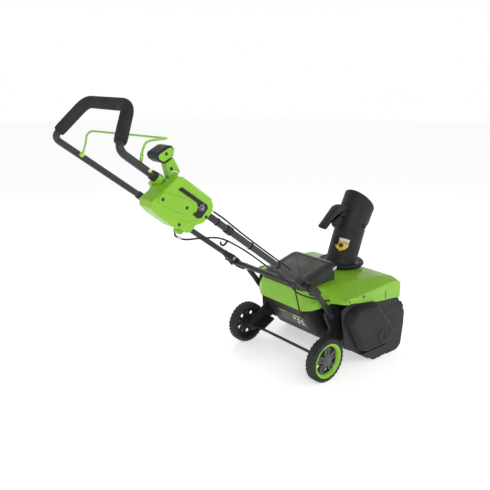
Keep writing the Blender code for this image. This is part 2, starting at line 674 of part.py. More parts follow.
def make_wheels():
    for side, tag in ((1, "left"), (-1, "right")):
        centre = AXLE + Vector((side * WHEEL_X, 0, 0))
        half = TYRE_W / 2
        tyre = [(-half + 0.004, TYRE_INNER_R), (-half, TYRE_INNER_R + 0.004), (-half + 0.001, 0.083),
                (-half + 0.008, WHEEL_R), (half - 0.008, WHEEL_R), (half - 0.001, 0.083),
                (half, TYRE_INNER_R + 0.004), (half - 0.004, TYRE_INNER_R)]
        out = (side, 0, 0)
        piece(f"tyre_{tag}", turned(tyre, centre, out, 36, ring=True), LOOKS["tyre"], centre)
        edge = TYRE_INNER_R - GAP
        rim = [(-0.019, AXLE_R + GAP), (0.0120, AXLE_R + GAP), (0.0120, 0.020), (0.0064, 0.0248),
               (0.0064, 0.0590), (0.0150, 0.0655), (0.0180, 0.0712), (0.0170, edge), (-0.016, edge),
               (-0.016, 0.066), (0.0010, 0.058), (0.0010, 0.024), (-0.019, 0.018)]
        piece(f"rim_{tag}", turned(rim, centre, out, 36, ring=True), LOOKS["black"], centre)
        cover = [(0.0180, 0.0200), (0.0205, 0.0200), (0.0235, 0.0160), (0.0235, 0.0080)]
        hub = turned(cover, centre, out, 24)
        piece(f"hub_cover_{tag}", hub, LOOKS["grey"], centre)
    rod = [(-AXLE_HALF, AXLE_R), (AXLE_HALF, AXLE_R)]
    piece("axle", turned(rod, AXLE, (1, 0, 0), 16), LOOKS["dark_steel"])


def make_wheel_brackets(black):
    plate = [(-0.160, 0.270), (-0.088, 0.284), (-0.070, 0.284), (-0.052, 0.272), (-0.036, 0.256), (-0.044, 0.228),
             (-0.060, 0.203), (-0.070, 0.182), (-0.062, 0.164), (-0.036, 0.144), (0.010, 0.116),
             (0.026, 0.098), (0.022, 0.074), (0.004, 0.064), (-0.020, 0.068), (-0.084, 0.100),
             (-0.160, 0.120)]
    floor = [(-0.086, 0.1035), (-0.020, 0.070), (-0.014, 0.076), (-0.084, 0.112)]
    for side, tag in ((1, "left"), (-1, "right")):
        bracket = piece(f"wheel_bracket_{tag}", prism(plate, side * BRACKET_IN, side * BRACKET_OUT), black)
        join(bracket, prism(floor, side * (BODY_HALF + 0.0006), side * (BRACKET_IN + 0.004)))
        join(bracket, turned([(side * 0.190, 0.0150), (side * 0.2122, 0.0120)], AXLE, (1, 0, 0), 16))
        hole = [(side * 0.17, AXLE_R + GAP), (side * 0.22, AXLE_R + GAP)]
        cut(bracket, turned(hole, AXLE, (1, 0, 0), 16))
        if side < 0:
            passage = [(side * 0.17, 0.0065), (side * 0.22, 0.0065)]
            cut(bracket, turned(passage, MOTOR, (1, 0, 0), 16))


def leg_section(t, side):
    """The leg is pressed flat at its foot and round at its top."""
    foot = Vector((side * LEG_X, *LEG_FOOT))
    top = Vector((side * LEG_X, *LEG_TOP))
    along = (top - foot).normalized()
    across = along.cross(Vector((1, 0, 0)))
    blend = min(max((t - 0.22) / 0.30, 0), 1)
    half_x = 0.0032 + (TUBE_R - 0.0032) * blend
    half_w = 0.0145 + (TUBE_R - 0.0145) * blend
    centre = foot + (top - foot) * t
    loop = []
    for k in range(12):
        angle = math.tau * k / 12
        loop.append(centre + Vector((half_x * math.cos(angle), 0, 0)) + across * half_w * math.sin(angle))
    return loop


def make_lower_frame(steel, black):
    for side, tag in ((1, "left"), (-1, "right")):
        loops = [leg_section(t, side) for t in (-0.13, 0.0, 0.22, 0.32, 0.42, 0.52, 1.0)]
        leg = piece(f"leg_{tag}", stack(loops), steel)
        foot = (0, *LEG_FOOT)
        bore = [(side * (LEG_X - 0.012), 0.0043), (side * (LEG_X + 0.012), 0.0043)]
        cut(leg, turned(bore, foot, (1, 0, 0), 12))
        bolt = [(BRACKET_OUT + GAP, 0.0105), (LEG_X - 0.0036, 0.0105), (LEG_X - 0.0036, 0.0040),
                (LEG_X + 0.0036, 0.0040), (LEG_X + 0.0036, 0.0100), (LEG_X + 0.0085, 0.0100),
                (LEG_X + 0.0105, 0.0070)]
        piece(f"leg_bolt_{tag}", turned([(side * a, r) for a, r in bolt], foot, (1, 0, 0), 12), black)
        outline = [(0.0365, 0.3740), (0.0530, 0.3540), (0.0645, 0.3630), (0.0900, 0.3860),
                   (0.1180, 0.4010), (0.1215, 0.4150), (0.1120, 0.4290), (0.0960, 0.4280), (0.0600, 0.4000)]
        knuckle = piece(f"knuckle_{tag}", prism(outline, side * 0.2150, side * 0.2350), black)
        socket = [(0.0365, 0.3740), (0.0530, 0.3540), (0.0570, 0.3590), (0.0520, 0.3740), (0.0450, 0.3810)]
        join(knuckle, prism(socket, side * 0.1890, side * 0.2200))
    half = 0.2146
    inner = TUBE_R - TUBE_WALL
    profile = [(-half, TUBE_R), (half, TUBE_R), (half, inner), (-half, inner)]
    piece("cross_tube", turned(profile, (0, CROSS_Y, CROSS_Z), (1, 0, 0), 12, ring=True), steel)


# ---------------------------------------------------------------- upper handle

def handle_corners(side):
    start = Vector((side * FOLD_X, FOLD_Y, FOLD_Z)) + UP_TUBE * 0.020
    bend = Vector((side * (HANDLE_X + 0.0015), *HANDLE_TOP))
    return [start, bend, Vector((side * GRIP_CORNER[0], *GRIP_CORNER[1:]))]


def make_upper_handle(steel, black):
    left, right = handle_corners(1), handle_corners(-1)
    path = fillet_path(left + right[::-1], (0.026, 0.036, 0.036, 0.026))
    tube = piece("handle_tube", stack(pipe_loops(path, TUBE_R, 12)), steel, FOLD)
    bore = stack(pipe_loops(path, TUBE_R - TUBE_WALL, 12))
    grip_start = [left[1] + (left[2] - left[1]).normalized() * 0.028,
                  right[1] + (right[2] - right[1]).normalized() * 0.028]
    grip = fillet_path([grip_start[0], left[2], right[2], grip_start[1]], (0.036, 0.036))
    sleeve = pipe_loops(grip, FOAM_R, 12) + pipe_loops(grip, TUBE_R + 0.0010, 12)[::-1]
    piece("foam_grip", stack(sleeve, ring=True), LOOKS["foam"], FOLD)
    for side, tag in ((1, "left"), (-1, "right")):
        far = FOLD + UP_TUBE * 0.0300
        spots = [far + OFF_TUBE * 0.0130, far - OFF_TUBE * 0.0130]
        for k in range(7):
            angle = HANDLE_SLOPE + math.pi * 1.5 - math.pi * k / 6
            spots.append(FOLD + Vector((0, math.cos(angle), math.sin(angle))) * 0.0145)
        lug = prism([(p.y, p.z) for p in spots], side * 0.1960, side * 0.2146)
        join(tube, lug)
    cut(tube, bore)
    for side, tag in ((1, "left"), (-1, "right")):
        pin_x = side * HANDLE_X
        hole = turned([(-0.02, 0.0036), (0.02, 0.0036)], BAIL + Vector((pin_x, 0, 0)), (1, 0, 0), 10)
        cut(tube, hole)
        pin = [(0.1905, 0.0052), (0.1920, 0.0052), (0.1920, 0.0028), (0.2225, 0.0028),
               (0.2225, 0.0058), (0.2250, 0.0048)]
        pin = turned([(side * a, r) for a, r in pin], BAIL, (1, 0, 0), 12)
        piece(f"bail_pin_{tag}", pin, LOOKS["green"], FOLD)


def make_bail(green):
    right = [(-BAIL_X, BAIL_Y, BAIL_Z), (-BAIL_X, 0.742, 0.914), (-BAIL_X - 0.003, 0.738, 0.943),
             (-BAIL_X - 0.010, 0.730, 0.967), (-BAIL_X - 0.012, 0.714, 0.9725), (-0.2080, 0.668, 0.9740),
             (-0.2030, 0.661, 0.9740)]
    left = [(0.196, 0.690, 0.9670), (0.207, 0.697, 0.9620), (0.207, 0.707, 0.9510), (0.204, 0.710, 0.9360),
            (BAIL_X + 0.001, 0.722, 0.9130), (BAIL_X, BAIL_Y, BAIL_Z)]
    path = [Vector(p) for p in right + left]
    bail = piece("bail_bar", stack(pipe_loops(path, WIRE_R, 8)), green, BAIL)
    for side in (1, -1):
        eye = [(-0.0030, 0.0031), (0.0030, 0.0031), (0.0030, 0.0068), (-0.0030, 0.0068)]
        spot = BAIL + Vector((side * BAIL_X, 0, 0))
        join(bail, turned(eye[2:], spot, (1, 0, 0), 14))
        cut(bail, turned([(-0.01, 0.0032), (0.01, 0.0032)], spot, (1, 0, 0), 12))


def cup(outline, x_face, x_open, wall, edge):
    """A shallow moulding with a rounded face at x_face, open at x_open."""
    sense = 1 if x_open > x_face else -1
    return stack([at_x(offset(outline, -edge), x_face), at_x(offset(outline, -edge * 0.3), x_face + sense * edge * 0.3),
                  at_x(outline, x_face + sense * edge), at_x(outline, x_open),
                  at_x(offset(outline, -wall), x_open),
                  at_x(offset(outline, -wall), x_face + sense * (edge + wall * 0.5)),
                  at_x(offset(outline, -edge - wall * 0.5), x_face + sense * wall)])


def make_control_box(green, black):
    corners = [(0.138, -0.070), (0.128, -0.086), (0.100, -0.092), (0.028, -0.094), (0.008, -0.086),
               (-0.014, -0.088), (-0.026, -0.080), (-0.030, -0.056), (-0.050, -0.036), (-0.059, 0.000),
               (-0.052, 0.022), (-0.032, 0.037), (0.086, 0.037), (0.106, 0.026), (0.116, -0.008)]
    outline = box_outline(corners)
    channel = on_box(-0.2, 0.0, -HANDLE_X + 0.0007)
    outer = piece("control_box_outer", cup(outline, BOX_OUT_X, BOX_SPLIT_X - GAP, 0.0026, 0.007), green, FOLD)
    inner = piece("control_box_inner", cup(outline, BOX_IN_X, BOX_SPLIT_X, 0.0026, 0.007), green, FOLD)
    for half in (outer, inner):
        cut(half, turned([(0.0, TUBE_R + 0.0018), (0.42, TUBE_R + 0.0018)], channel, UP_TUBE, 16))
        window = box_outline([(0.056, 0.0145), (0.150, 0.0145), (0.150, 0.060), (0.056, 0.060)])
        cut(half, prism(window, -0.2310, -0.1850))
    pod = box_outline([(0.074, -0.034), (0.108, -0.034), (0.112, -0.024), (0.108, 0.004), (0.074, 0.004)])
    join(inner, prism(pod, BOX_IN_X - 0.0020, -0.1720))
    button_at = on_box(0.094, -0.015, -0.1835)
    cut(inner, turned([(0.0, 0.0088), (0.04, 0.0088)], button_at, UP_TUBE, 16))
    knob = [(0.0050, 0.0084), (0.0290, 0.0084), (0.0315, 0.0068)]
    piece("start_button", turned(knob, button_at, UP_TUBE, 16), LOOKS["bright_green"], button_at)
    switch = box_outline([(0.040, -0.056), (0.1035, -0.056), (0.1035, -0.020), (0.040, -0.020)])
    piece("switch_module", prism(switch, -0.246, -0.214), black, FOLD)
    strip = [(0.084, -0.001), (0.078, 0.010), (-0.026, 0.012), (-0.034, 0.004), (-0.030, -0.028),
             (-0.018, -0.037), (0.002, -0.034), (-0.006, -0.020), (-0.004, -0.008), (0.010, 0.000)]
    panel = prism(box_outline(strip), BOX_OUT_X - GAP, BOX_OUT_X - 0.0030)
    piece("control_panel", panel, black, FOLD)


def make_chute_lever(green, black):
    """A kite-shaped arm over the tube, pivoted in the control box, with a cross grip on top."""
    arm = [(0.1380, 0.0435), (0.1265, 0.0715), (0.0850, 0.0520), (0.0860, 0.0260), (0.0900, 0.0170),
           (0.1030, 0.0160), (0.1100, 0.0210)]
    piece("lever_arm", prism(box_outline(arm), -0.2290, -0.2020), green, LEVER)
    grip = [(0.1440, 0.0400), (0.1640, 0.0385), (0.1740, 0.0450), (0.1760, 0.0530), (0.1600, 0.0860),
            (0.1500, 0.0950), (0.1370, 0.0910), (0.1290, 0.0740)]
    piece("lever_grip", prism(box_outline(grip), -0.2310, -0.1740), black, LEVER)


def make_cam_levers(black):
    """Quick-release levers that clamp the fold; each lies along its leg and swings outward to open."""
    down = Vector((0, -0.6433, -0.7656))
    across = Vector((0, 0.7656, -0.6433))
    for side, tag in ((1, "left"), (-1, "right")):
        pivot = FOLD + Vector((side * 0.2430, 0, 0))
        spots = []
        for along, x in ((-0.0060, 0.2390), (-0.0067, 0.2450), (-0.0040, 0.2485), (0.010, 0.2500),
                         (0.056, 0.2490), (0.060, 0.2450), (0.056, 0.2410), (0.012, 0.2356), (0.0, 0.2356)):
            spots.append(FOLD + down * along + Vector((side * x, 0, 0)))
        loops = [[p + across * w for p in spots] for w in (-0.009, 0.009)]
        piece(f"cam_lever_{tag}", stack(loops), black, pivot)


def make_cables(black):
    rear = Vector((-0.3100, 0.8320, -0.4604)).normalized()
    grommet = Vector((-0.118, 0.0022, 0.2452))
    flange = turned([(0.0, 0.0062), (0.004, 0.0062), (0.007, 0.0050)], grommet, rear, 12)
    piece("cable_grommet", flange, black)
    power = [on_box(-0.0605, 0.0150, -0.2290), on_box(-0.085, 0.0150, -0.2300),
             on_box(-0.140, 0.0165, -0.2270), on_box(-0.230, 0.0190, -0.2160), on_box(-0.330, 0.0200, -0.2080),
             on_box(-0.430, 0.0230, -0.2020), on_box(-0.520, 0.0230, -0.1960),
             Vector((-0.185, 0.135, 0.4400)), Vector((-0.172, 0.112, 0.4120)), Vector((-0.149, 0.090, 0.378)),
             Vector((-0.134, 0.062, 0.325)), Vector((-0.128, 0.040, 0.272)), grommet + rear * 0.024,
             grommet + rear * 0.016, grommet + rear * 0.0082]
    cord("power_cable", power, 0.0028, black, FOLD)
    chute = [on_box(-0.012, -0.0905, -0.2060), on_box(-0.022, -0.105, -0.2060), on_box(-0.060, -0.098, -0.2050),
             on_box(-0.120, -0.064, -0.2000), on_box(-0.190, -0.032, -0.1960), on_box(-0.300, -0.020, -0.1940),
             on_box(-0.440, -0.020, -0.1900), on_box(-0.560, -0.022, -0.1860),
             Vector((-0.176, 0.110, 0.378)), Vector((-0.175, 0.055, 0.346)), Vector((-0.181, 0.000, 0.322)),
             Vector((-0.1850, -0.035, 0.309)), Vector((-0.1890, -0.0620, 0.304))]
    cord("chute_cable", chute, 0.0028, black, FOLD)


# ---------------------------------------------------------------- build

clear_scene()
MACHINE = bpy.data.objects.new("machine_frame", None)
bpy.context.scene.collection.objects.link(MACHINE)
MACHINE.location = (0, -MID_Y, 0)

LOOKS = {
    "green": material("moulded green", (0.23, 0.51, 0.021), 0.35),
    "bright_green": material("bright green", (0.42, 0.75, 0.10), 0.35),
    "black": material("black plastic", (0.035, 0.035, 0.037), 0.55),
    "dark": material("battery cover grey", (0.070, 0.078, 0.070), 0.50),
    "battery": material("battery case", (0.030, 0.032, 0.030), 0.50),
    "tube": material("coated tube", (0.045, 0.045, 0.047), 0.40, 0.2),
    "foam": material("grip foam", (0.028, 0.029, 0.030), 0.90),
    "tyre": material("tyre", (0.030, 0.031, 0.031), 0.85),
    "rubber": material("rubber", (0.025, 0.025, 0.026), 0.80),
    "steel": material("plated steel", (0.62, 0.62, 0.62), 0.30, 1.0),
    "dark_steel": material("blackened steel", (0.060, 0.060, 0.062), 0.45, 0.8),
    "grey": material("grey plastic", (0.17, 0.17, 0.17), 0.50),
}

make_auger_housing(LOOKS["black"])
make_side_plates(LOOKS["black"])
make_bearing_cap(LOOKS["black"])
make_drive_cover(LOOKS["black"])
make_drive(LOOKS["steel"])
make_auger(LOOKS["steel"], LOOKS["rubber"])
make_lower_body(LOOKS["black"])
make_hood(LOOKS["green"])
make_battery_bay(LOOKS["dark"])
make_chute(LOOKS["black"])
make_wheels()
make_wheel_brackets(LOOKS["black"])
make_lower_frame(LOOKS["tube"], LOOKS["black"])
make_upper_handle(LOOKS["tube"], LOOKS["black"])
make_bail(LOOKS["green"])
make_control_box(LOOKS["green"], LOOKS["black"])
make_chute_lever(LOOKS["green"], LOOKS["black"])
make_cam_levers(LOOKS["black"])
make_cables(LOOKS["black"])
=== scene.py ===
"""Looks of a walk-behind cordless snow thrower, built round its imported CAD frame.

Metres, in the frame's own axes: +X is the machine's left, +Y points back to the operator, +Z is up.
"""

import json
import math

import bmesh
import bpy
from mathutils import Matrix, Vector


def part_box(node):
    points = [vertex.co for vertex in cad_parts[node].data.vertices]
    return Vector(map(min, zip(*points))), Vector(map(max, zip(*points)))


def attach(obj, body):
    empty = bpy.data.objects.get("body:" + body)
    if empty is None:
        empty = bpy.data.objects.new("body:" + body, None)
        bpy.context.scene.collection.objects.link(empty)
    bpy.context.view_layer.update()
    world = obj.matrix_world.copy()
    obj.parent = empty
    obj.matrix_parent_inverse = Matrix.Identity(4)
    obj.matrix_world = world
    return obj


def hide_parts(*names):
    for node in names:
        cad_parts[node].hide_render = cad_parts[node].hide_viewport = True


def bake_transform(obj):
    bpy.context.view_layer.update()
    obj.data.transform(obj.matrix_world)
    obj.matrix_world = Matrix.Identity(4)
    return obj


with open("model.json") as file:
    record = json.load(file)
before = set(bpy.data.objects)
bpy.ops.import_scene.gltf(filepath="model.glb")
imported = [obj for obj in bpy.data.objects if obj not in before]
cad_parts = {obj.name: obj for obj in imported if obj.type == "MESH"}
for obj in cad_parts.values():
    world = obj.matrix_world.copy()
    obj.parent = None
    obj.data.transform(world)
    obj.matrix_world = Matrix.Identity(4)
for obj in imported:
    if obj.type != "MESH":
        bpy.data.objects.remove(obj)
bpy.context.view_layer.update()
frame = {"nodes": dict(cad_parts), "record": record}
BODIES = frame["record"]["behaviour"]["bodies"]
BODY_OF = {node: body for body, nodes in BODIES.items() for node in nodes}
SLOT_OF = {part["node"]: part["material_slot"] for part in frame["record"]["subparts"]}


def middle(node):
    low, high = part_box(node)
    return (low + high) / 2


# Places that the pieces are laid out from
AXLE = middle("axle")
AUGER = middle("auger_shaft")
AUGER.x = 0
HANDLE_SLOPE = math.atan2(0.6048, 0.7964)
UP_TUBE = Vector((0, math.cos(HANDLE_SLOPE), math.sin(HANDLE_SLOPE)))
OFF_TUBE = Vector((0, -math.sin(HANDLE_SLOPE), math.cos(HANDLE_SLOPE)))
OUT_LEFT = Vector((1, 0, 0))
OUT_RIGHT = Vector((-1, 0, 0))


def here(x, y, z):
    """A place given from the ground point under the middle of the axle."""
    return Vector((x, y + AXLE.y, z))


BOX_MID = here(0, 0.600, 0.7907)       # on the handle tubes' axis, at the control box


def on_box(along, above, x=0.0):
    return BOX_MID + UP_TUBE * along + OFF_TUBE * above + Vector((x, 0, 0))


# ---------------------------------------------------------------- camera and light

def aim(obj, spot):
    obj.rotation_mode = "QUATERNION"
    obj.rotation_quaternion = (Vector(spot) - obj.location).to_track_quat("-Z", "Y")


def make_camera():
    data = bpy.data.cameras.new("camera")
    data.lens = 41.80
    data.shift_x, data.shift_y = 0.0104, 0.0012
    data.clip_start, data.clip_end = 0.05, 50
    camera = bpy.data.objects.new("camera", data)
    bpy.context.scene.collection.objects.link(camera)
    camera.location = (-1.548, 1.3542, 1.1378)
    aim(camera, camera.location + Vector((0.738, -0.611, -0.2857)))
    bpy.context.scene.camera = camera


def softbox(name, place, target, size, power):
    data = bpy.data.lights.new(name, "AREA")
    data.shape = "RECTANGLE"
    data.size, data.size_y = size
    data.energy = power
    lamp = bpy.data.objects.new(name, data)
    bpy.context.scene.collection.objects.link(lamp)
    lamp.location = place
    aim(lamp, target)


def make_studio():
    """An even white room, three softboxes and a pale floor."""
    world = bpy.data.worlds.new("studio")
    world.use_nodes = True
    bpy.context.scene.world = world
    nodes, links = world.node_tree.nodes, world.node_tree.links
    height = nodes.new("ShaderNodeSeparateXYZ")
    links.new(nodes.new("ShaderNodeTexCoord").outputs["Generated"], height.inputs["Vector"])
    fall = nodes.new("ShaderNodeMapRange")
    for name, number in (("From Min", 0.10), ("From Max", 0.85), ("To Min", 1.0), ("To Max", 0.28)):
        fall.inputs[name].default_value = number
    links.new(height.outputs["Z"], fall.inputs["Value"])
    links.new(fall.outputs["Result"], nodes["Background"].inputs["Strength"])
    nodes["Background"].inputs["Color"].default_value = (1.0, 1.0, 1.0, 1)
    softbox("key", (-2.2, 1.6, 2.6), (0, 0, 0.4), (1.6, 1.2), 30)
    softbox("side", (-2.4, -1.9, 1.5), (0, -0.2, 0.3), (0.9, 1.6), 14)
    softbox("back", (2.3, -1.2, 2.2), (0, 0, 0.3), (1.4, 1.2), 16)
    bm = bmesh.new()
    bmesh.ops.create_circle(bm, cap_ends=True, segments=64, radius=14)
    mesh = bpy.data.meshes.new("floor")
    bm.to_mesh(mesh)
    bm.free()
    look = bpy.data.materials.new("pale_floor")
    look.use_nodes = True
    shader = look.node_tree.nodes["Principled BSDF"]
    shader.inputs["Base Color"].default_value = (0.88, 0.88, 0.88, 1)
    shader.inputs["Roughness"].default_value = 0.75
    shader.inputs["Emission Color"].default_value = (1.0, 1.0, 1.0, 1)
    shader.inputs["Emission Strength"].default_value = 0.52
    mesh.materials.append(look)
    floor = bpy.data.objects.new("floor", mesh)
    floor.location.z = -0.0005
    bpy.context.scene.collection.objects.link(floor)
    bpy.context.scene.view_settings.view_transform = "Standard"


# ---------------------------------------------------------------- materials

class Look:
    """A procedural finish in the object's own coordinates, built up step by step."""

    def __init__(self, name, roughness, metallic=0.0):
        self.material = bpy.data.materials.new(name)
        self.material.use_nodes = True
        self.nodes = self.material.node_tree.nodes
        self.links = self.material.node_tree.links
        self.shader = self.nodes["Principled BSDF"]
        self.shader.inputs["Roughness"].default_value = roughness
        self.shader.inputs["Metallic"].default_value = metallic
        self.coordinates = self.nodes.new("ShaderNodeTexCoord").outputs["Object"]
        self.height = None

    def set(self, **values):
        for name, value in values.items():
            self.shader.inputs[name.replace("_", " ")].default_value = value
        return self

    def noise(self, scale, detail=3.0, stretch=None):
        source = self.coordinates
        if stretch:
            mapping = self.nodes.new("ShaderNodeMapping")
            mapping.inputs["Scale"].default_value = stretch
            self.links.new(source, mapping.inputs["Vector"])
            source = mapping.outputs["Vector"]
        node = self.nodes.new("ShaderNodeTexNoise")
        node.inputs["Scale"].default_value = scale
        node.inputs["Detail"].default_value = detail
        self.links.new(source, node.inputs["Vector"])
        return node.outputs["Fac"]

    def cells(self, scale):
        node = self.nodes.new("ShaderNodeTexVoronoi")
        node.inputs["Scale"].default_value = scale
        self.links.new(self.coordinates, node.inputs["Vector"])
        return node.outputs["Distance"]

    def ramp(self, value, low, high, bottom=0.0, top=1.0):
        node = self.nodes.new("ShaderNodeMapRange")
        for name, number in (("From Min", low), ("From Max", high), ("To Min", bottom), ("To Max", top)):
            node.inputs[name].default_value = number
        self.links.new(value, node.inputs["Value"])
        return node.outputs["Result"]

    def blend(self, factor, dark, light):
        node = self.nodes.new("ShaderNodeMix")
        node.data_type = "RGBA"
        self.links.new(factor, node.inputs["Factor"])
        for socket, colour in ((node.inputs["A"], dark), (node.inputs["B"], light)):
            if isinstance(colour, tuple):
                socket.default_value = (*colour, 1)
            else:
                self.links.new(colour, socket)
        return node.outputs["Result"]

    def colour(self, dark, light, scale=7.0):
        """Slow drift between two close shades."""
        self.base = self.blend(self.ramp(self.noise(scale, 4), 0.35, 0.65), dark, light)
        self.links.new(self.base, self.shader.inputs["Base Color"])
        return self

    def layer(self, factor, colour):
        self.base = self.blend(factor, self.base, colour)
        self.links.new(self.base, self.shader.inputs["Base Color"])
        return self

    def uneven(self, low, high, scale=18.0):
        """Roughness that drifts, as handling leaves it."""
        self.links.new(self.ramp(self.noise(scale, 5), 0.3, 0.7, low, high), self.shader.inputs["Roughness"])
        return self

    def relief(self, value, strength, distance):
        node = self.nodes.new("ShaderNodeBump")
        node.inputs["Strength"].default_value = strength
        node.inputs["Distance"].default_value = distance
        self.links.new(value, node.inputs["Height"])
        if self.height:
            self.links.new(self.height, node.inputs["Normal"])
        self.height = node.outputs["Normal"]
        self.links.new(self.height, self.shader.inputs["Normal"])
        return self

    def done(self):
        return self.material


def make_looks():
    looks = {}

    def shell(name, dark, light):
        look = Look(name, 0.32).set(Coat_Weight=0.12, Coat_Roughness=0.12, Specular_IOR_Level=0.4)
        look.colour(dark, light).uneven(0.26, 0.38)
        return look.relief(look.noise(420, 2), 0.10, 0.0004).relief(look.noise(28, 2), 0.06, 0.002).done()

    def grained(name, dark, light, low, high, wear):
        look = Look(name, low).set(IOR=1.45, Specular_IOR_Level=0.22)
        look.colour(dark, light).layer(look.ramp(look.noise(90, 5), 0.66, 0.78, 0.0, 0.25), wear).uneven(low, high)
        look.relief(look.cells(1500), 0.28, 0.0002)
        return look.relief(look.noise(240, 3), 0.10, 0.0006).done()

    looks["green_shell"] = shell("green_shell", (0.205, 0.465, 0.016), (0.232, 0.505, 0.021))
    looks["bright_green"] = shell("bright_green", (0.40, 0.72, 0.09), (0.44, 0.78, 0.12))
    looks["green_wire"] = shell("green_wire", (0.23, 0.50, 0.03), (0.26, 0.56, 0.04))
    looks["black_plastic"] = grained("black_plastic", (0.018, 0.018, 0.019), (0.025, 0.025, 0.026),
                                     0.40, 0.56, (0.085, 0.085, 0.088))
    looks["housing_black"] = grained("housing_black", (0.020, 0.020, 0.021), (0.027, 0.027, 0.028),
                                     0.44, 0.60, (0.10, 0.10, 0.10))
    looks["cover_black"] = grained("cover_black", (0.010, 0.010, 0.0105), (0.015, 0.015, 0.0155),
                                   0.36, 0.48, (0.05, 0.05, 0.05))
    looks["grey_plastic"] = grained("grey_plastic", (0.085, 0.086, 0.088), (0.110, 0.112, 0.114),
                                    0.42, 0.56, (0.20, 0.20, 0.20))
    looks["lid_plastic"] = grained("lid_plastic", (0.030, 0.034, 0.030), (0.040, 0.045, 0.038),
                                   0.36, 0.50, (0.12, 0.13, 0.12))
    looks["battery_case"] = grained("battery_case", (0.024, 0.026, 0.024), (0.032, 0.034, 0.031),
                                    0.38, 0.50, (0.08, 0.08, 0.08))

    tube = Look("coated_tube", 0.36).set(Specular_IOR_Level=0.35)
    tube.colour((0.024, 0.024, 0.025), (0.032, 0.032, 0.033)).uneven(0.32, 0.46)
    scuffs = tube.ramp(tube.noise(38, 5, (1, 9, 9)), 0.70, 0.80, 0.0, 0.12)
    tube.layer(scuffs, (0.11, 0.11, 0.11)).relief(tube.noise(520, 2), 0.16, 0.0003)
    looks["coated_tube"] = tube.done()

    foam = Look("foam", 0.86).set(Specular_IOR_Level=0.15)
    foam.colour((0.024, 0.025, 0.026), (0.036, 0.037, 0.038), 16).uneven(0.80, 0.94)
    pores = foam.ramp(foam.cells(900), 0.05, 0.45)
    foam.relief(pores, 0.40, 0.0006).relief(foam.noise(60, 3), 0.12, 0.002)
    looks["foam"] = foam.done()

    for name, dark, light in (("tyre", (0.026, 0.027, 0.027), (0.038, 0.039, 0.039)),
                              ("rubber", (0.022, 0.022, 0.023), (0.032, 0.032, 0.033))):
        rubber = Look(name, 0.75).set(Specular_IOR_Level=0.2)
        rubber.colour(dark, light, 12).uneven(0.62, 0.84)
        dust = rubber.ramp(rubber.noise(55, 6), 0.56, 0.76, 0.0, 0.30)
        rubber.layer(dust, (0.11, 0.105, 0.095)).relief(rubber.noise(700, 3), 0.22, 0.0004)
        looks[name] = rubber.done()

    plated = Look("plated_steel", 0.30, 1.0)
    plated.colour((0.50, 0.50, 0.50), (0.66, 0.66, 0.65), 30).uneven(0.22, 0.42, 40)
    plated.relief(plated.noise(120, 3, (1, 1, 14)), 0.14, 0.0003)
    looks["plated_steel"] = plated.done()

    dark = Look("dark_steel", 0.42, 0.85)
    dark.colour((0.050, 0.050, 0.052), (0.085, 0.084, 0.082), 22).uneven(0.34, 0.52)
    dark.relief(dark.noise(300, 3), 0.16, 0.0003)
    looks["dark_steel"] = dark.done()

    hollow = Look("shadow_black", 0.70)
    hollow.colour((0.006, 0.006, 0.006), (0.012, 0.012, 0.012), 20).uneven(0.6, 0.8)
    looks["shadow_black"] = hollow.relief(hollow.noise(400, 2), 0.1, 0.0003).done()

    for name, dark_tone, light_tone in (("label_white", (0.62, 0.62, 0.60), (0.72, 0.72, 0.70)),
                                        ("label_yellow", (0.68, 0.44, 0.05), (0.76, 0.50, 0.07)),
                                        ("label_dark", (0.016, 0.016, 0.017), (0.022, 0.022, 0.023))):
        label = Look(name, 0.35)
        label.colour(dark_tone, light_tone, 40).uneven(0.28, 0.44)
        looks[name] = label.relief(label.noise(600, 2), 0.05, 0.0002).done()
    return looks


# ---------------------------------------------------------------- mesh helpers

def stack(loops, ring=False):
    """A closed body through loops of equally many points: capped at both ends, or joined end to end."""
    bm = bmesh.new()
    rows = [[bm.verts.new(point) for point in loop] for loop in loops]
    count = len(rows[0])
    pairs = list(zip(rows, rows[1:]))
    if ring:
        pairs.append((rows[-1], rows[0]))
    else:
        bm.faces.new(rows[0])
        bm.faces.new(list(reversed(rows[-1])))
    for low, high in pairs:
        for i in range(count):
            j = (i + 1) % count
            bm.faces.new((low[i], high[i], high[j], low[j]))
    return bm


def extrude(outline, push):
    """A flat outline of 3-D points, given thickness along push."""
    return stack([outline, [point + push for point in outline]])


def join(*parts):
    """Several closed bodies in one mesh."""
    whole = bmesh.new()
    for bm in parts:
        mesh = bpy.data.meshes.new("part")
        bm.to_mesh(mesh)
        bm.free()
        whole.from_mesh(mesh)
        bpy.data.meshes.remove(mesh)
    return whole


def rounded(outline, radius, steps=5):
    """The outline (2-D or 3-D) with each corner replaced by a short curve."""
    points = []
    for i, corner in enumerate(outline):
        spot = Vector(corner)
        to_last = Vector(outline[i - 1]) - spot
        to_next = Vector(outline[(i + 1) % len(outline)]) - spot
        back = min(radius, 0.45 * to_last.length, 0.45 * to_next.length)
        a = spot + to_last.normalized() * back
        b = spot + to_next.normalized() * back
        for k in range(steps + 1):
            t = k / steps
            points.append(a * (1 - t) ** 2 + spot * 2 * t * (1 - t) + b * t ** 2)
    return points


def offset(outline, distance):
    """The 2-D outline moved out by distance along its mitred corners (in when negative)."""
    area = sum(a[0] * b[1] - b[0] * a[1] for a, b in zip(outline, outline[1:] + outline[:1]))
    turn = 1 if area > 0 else -1
    moved = []
    for i, point in enumerate(outline):
        before = Vector(point) - Vector(outline[i - 1])
        after = Vector(outline[(i + 1) % len(outline)]) - Vector(point)
        n0 = Vector((before.y, -before.x)).normalized() * turn
        n1 = Vector((after.y, -after.x)).normalized() * turn
        mitre = (n0 + n1).normalized()
        moved.append(Vector(point) + mitre * distance / max(mitre.dot(n0), 0.5))
    return moved


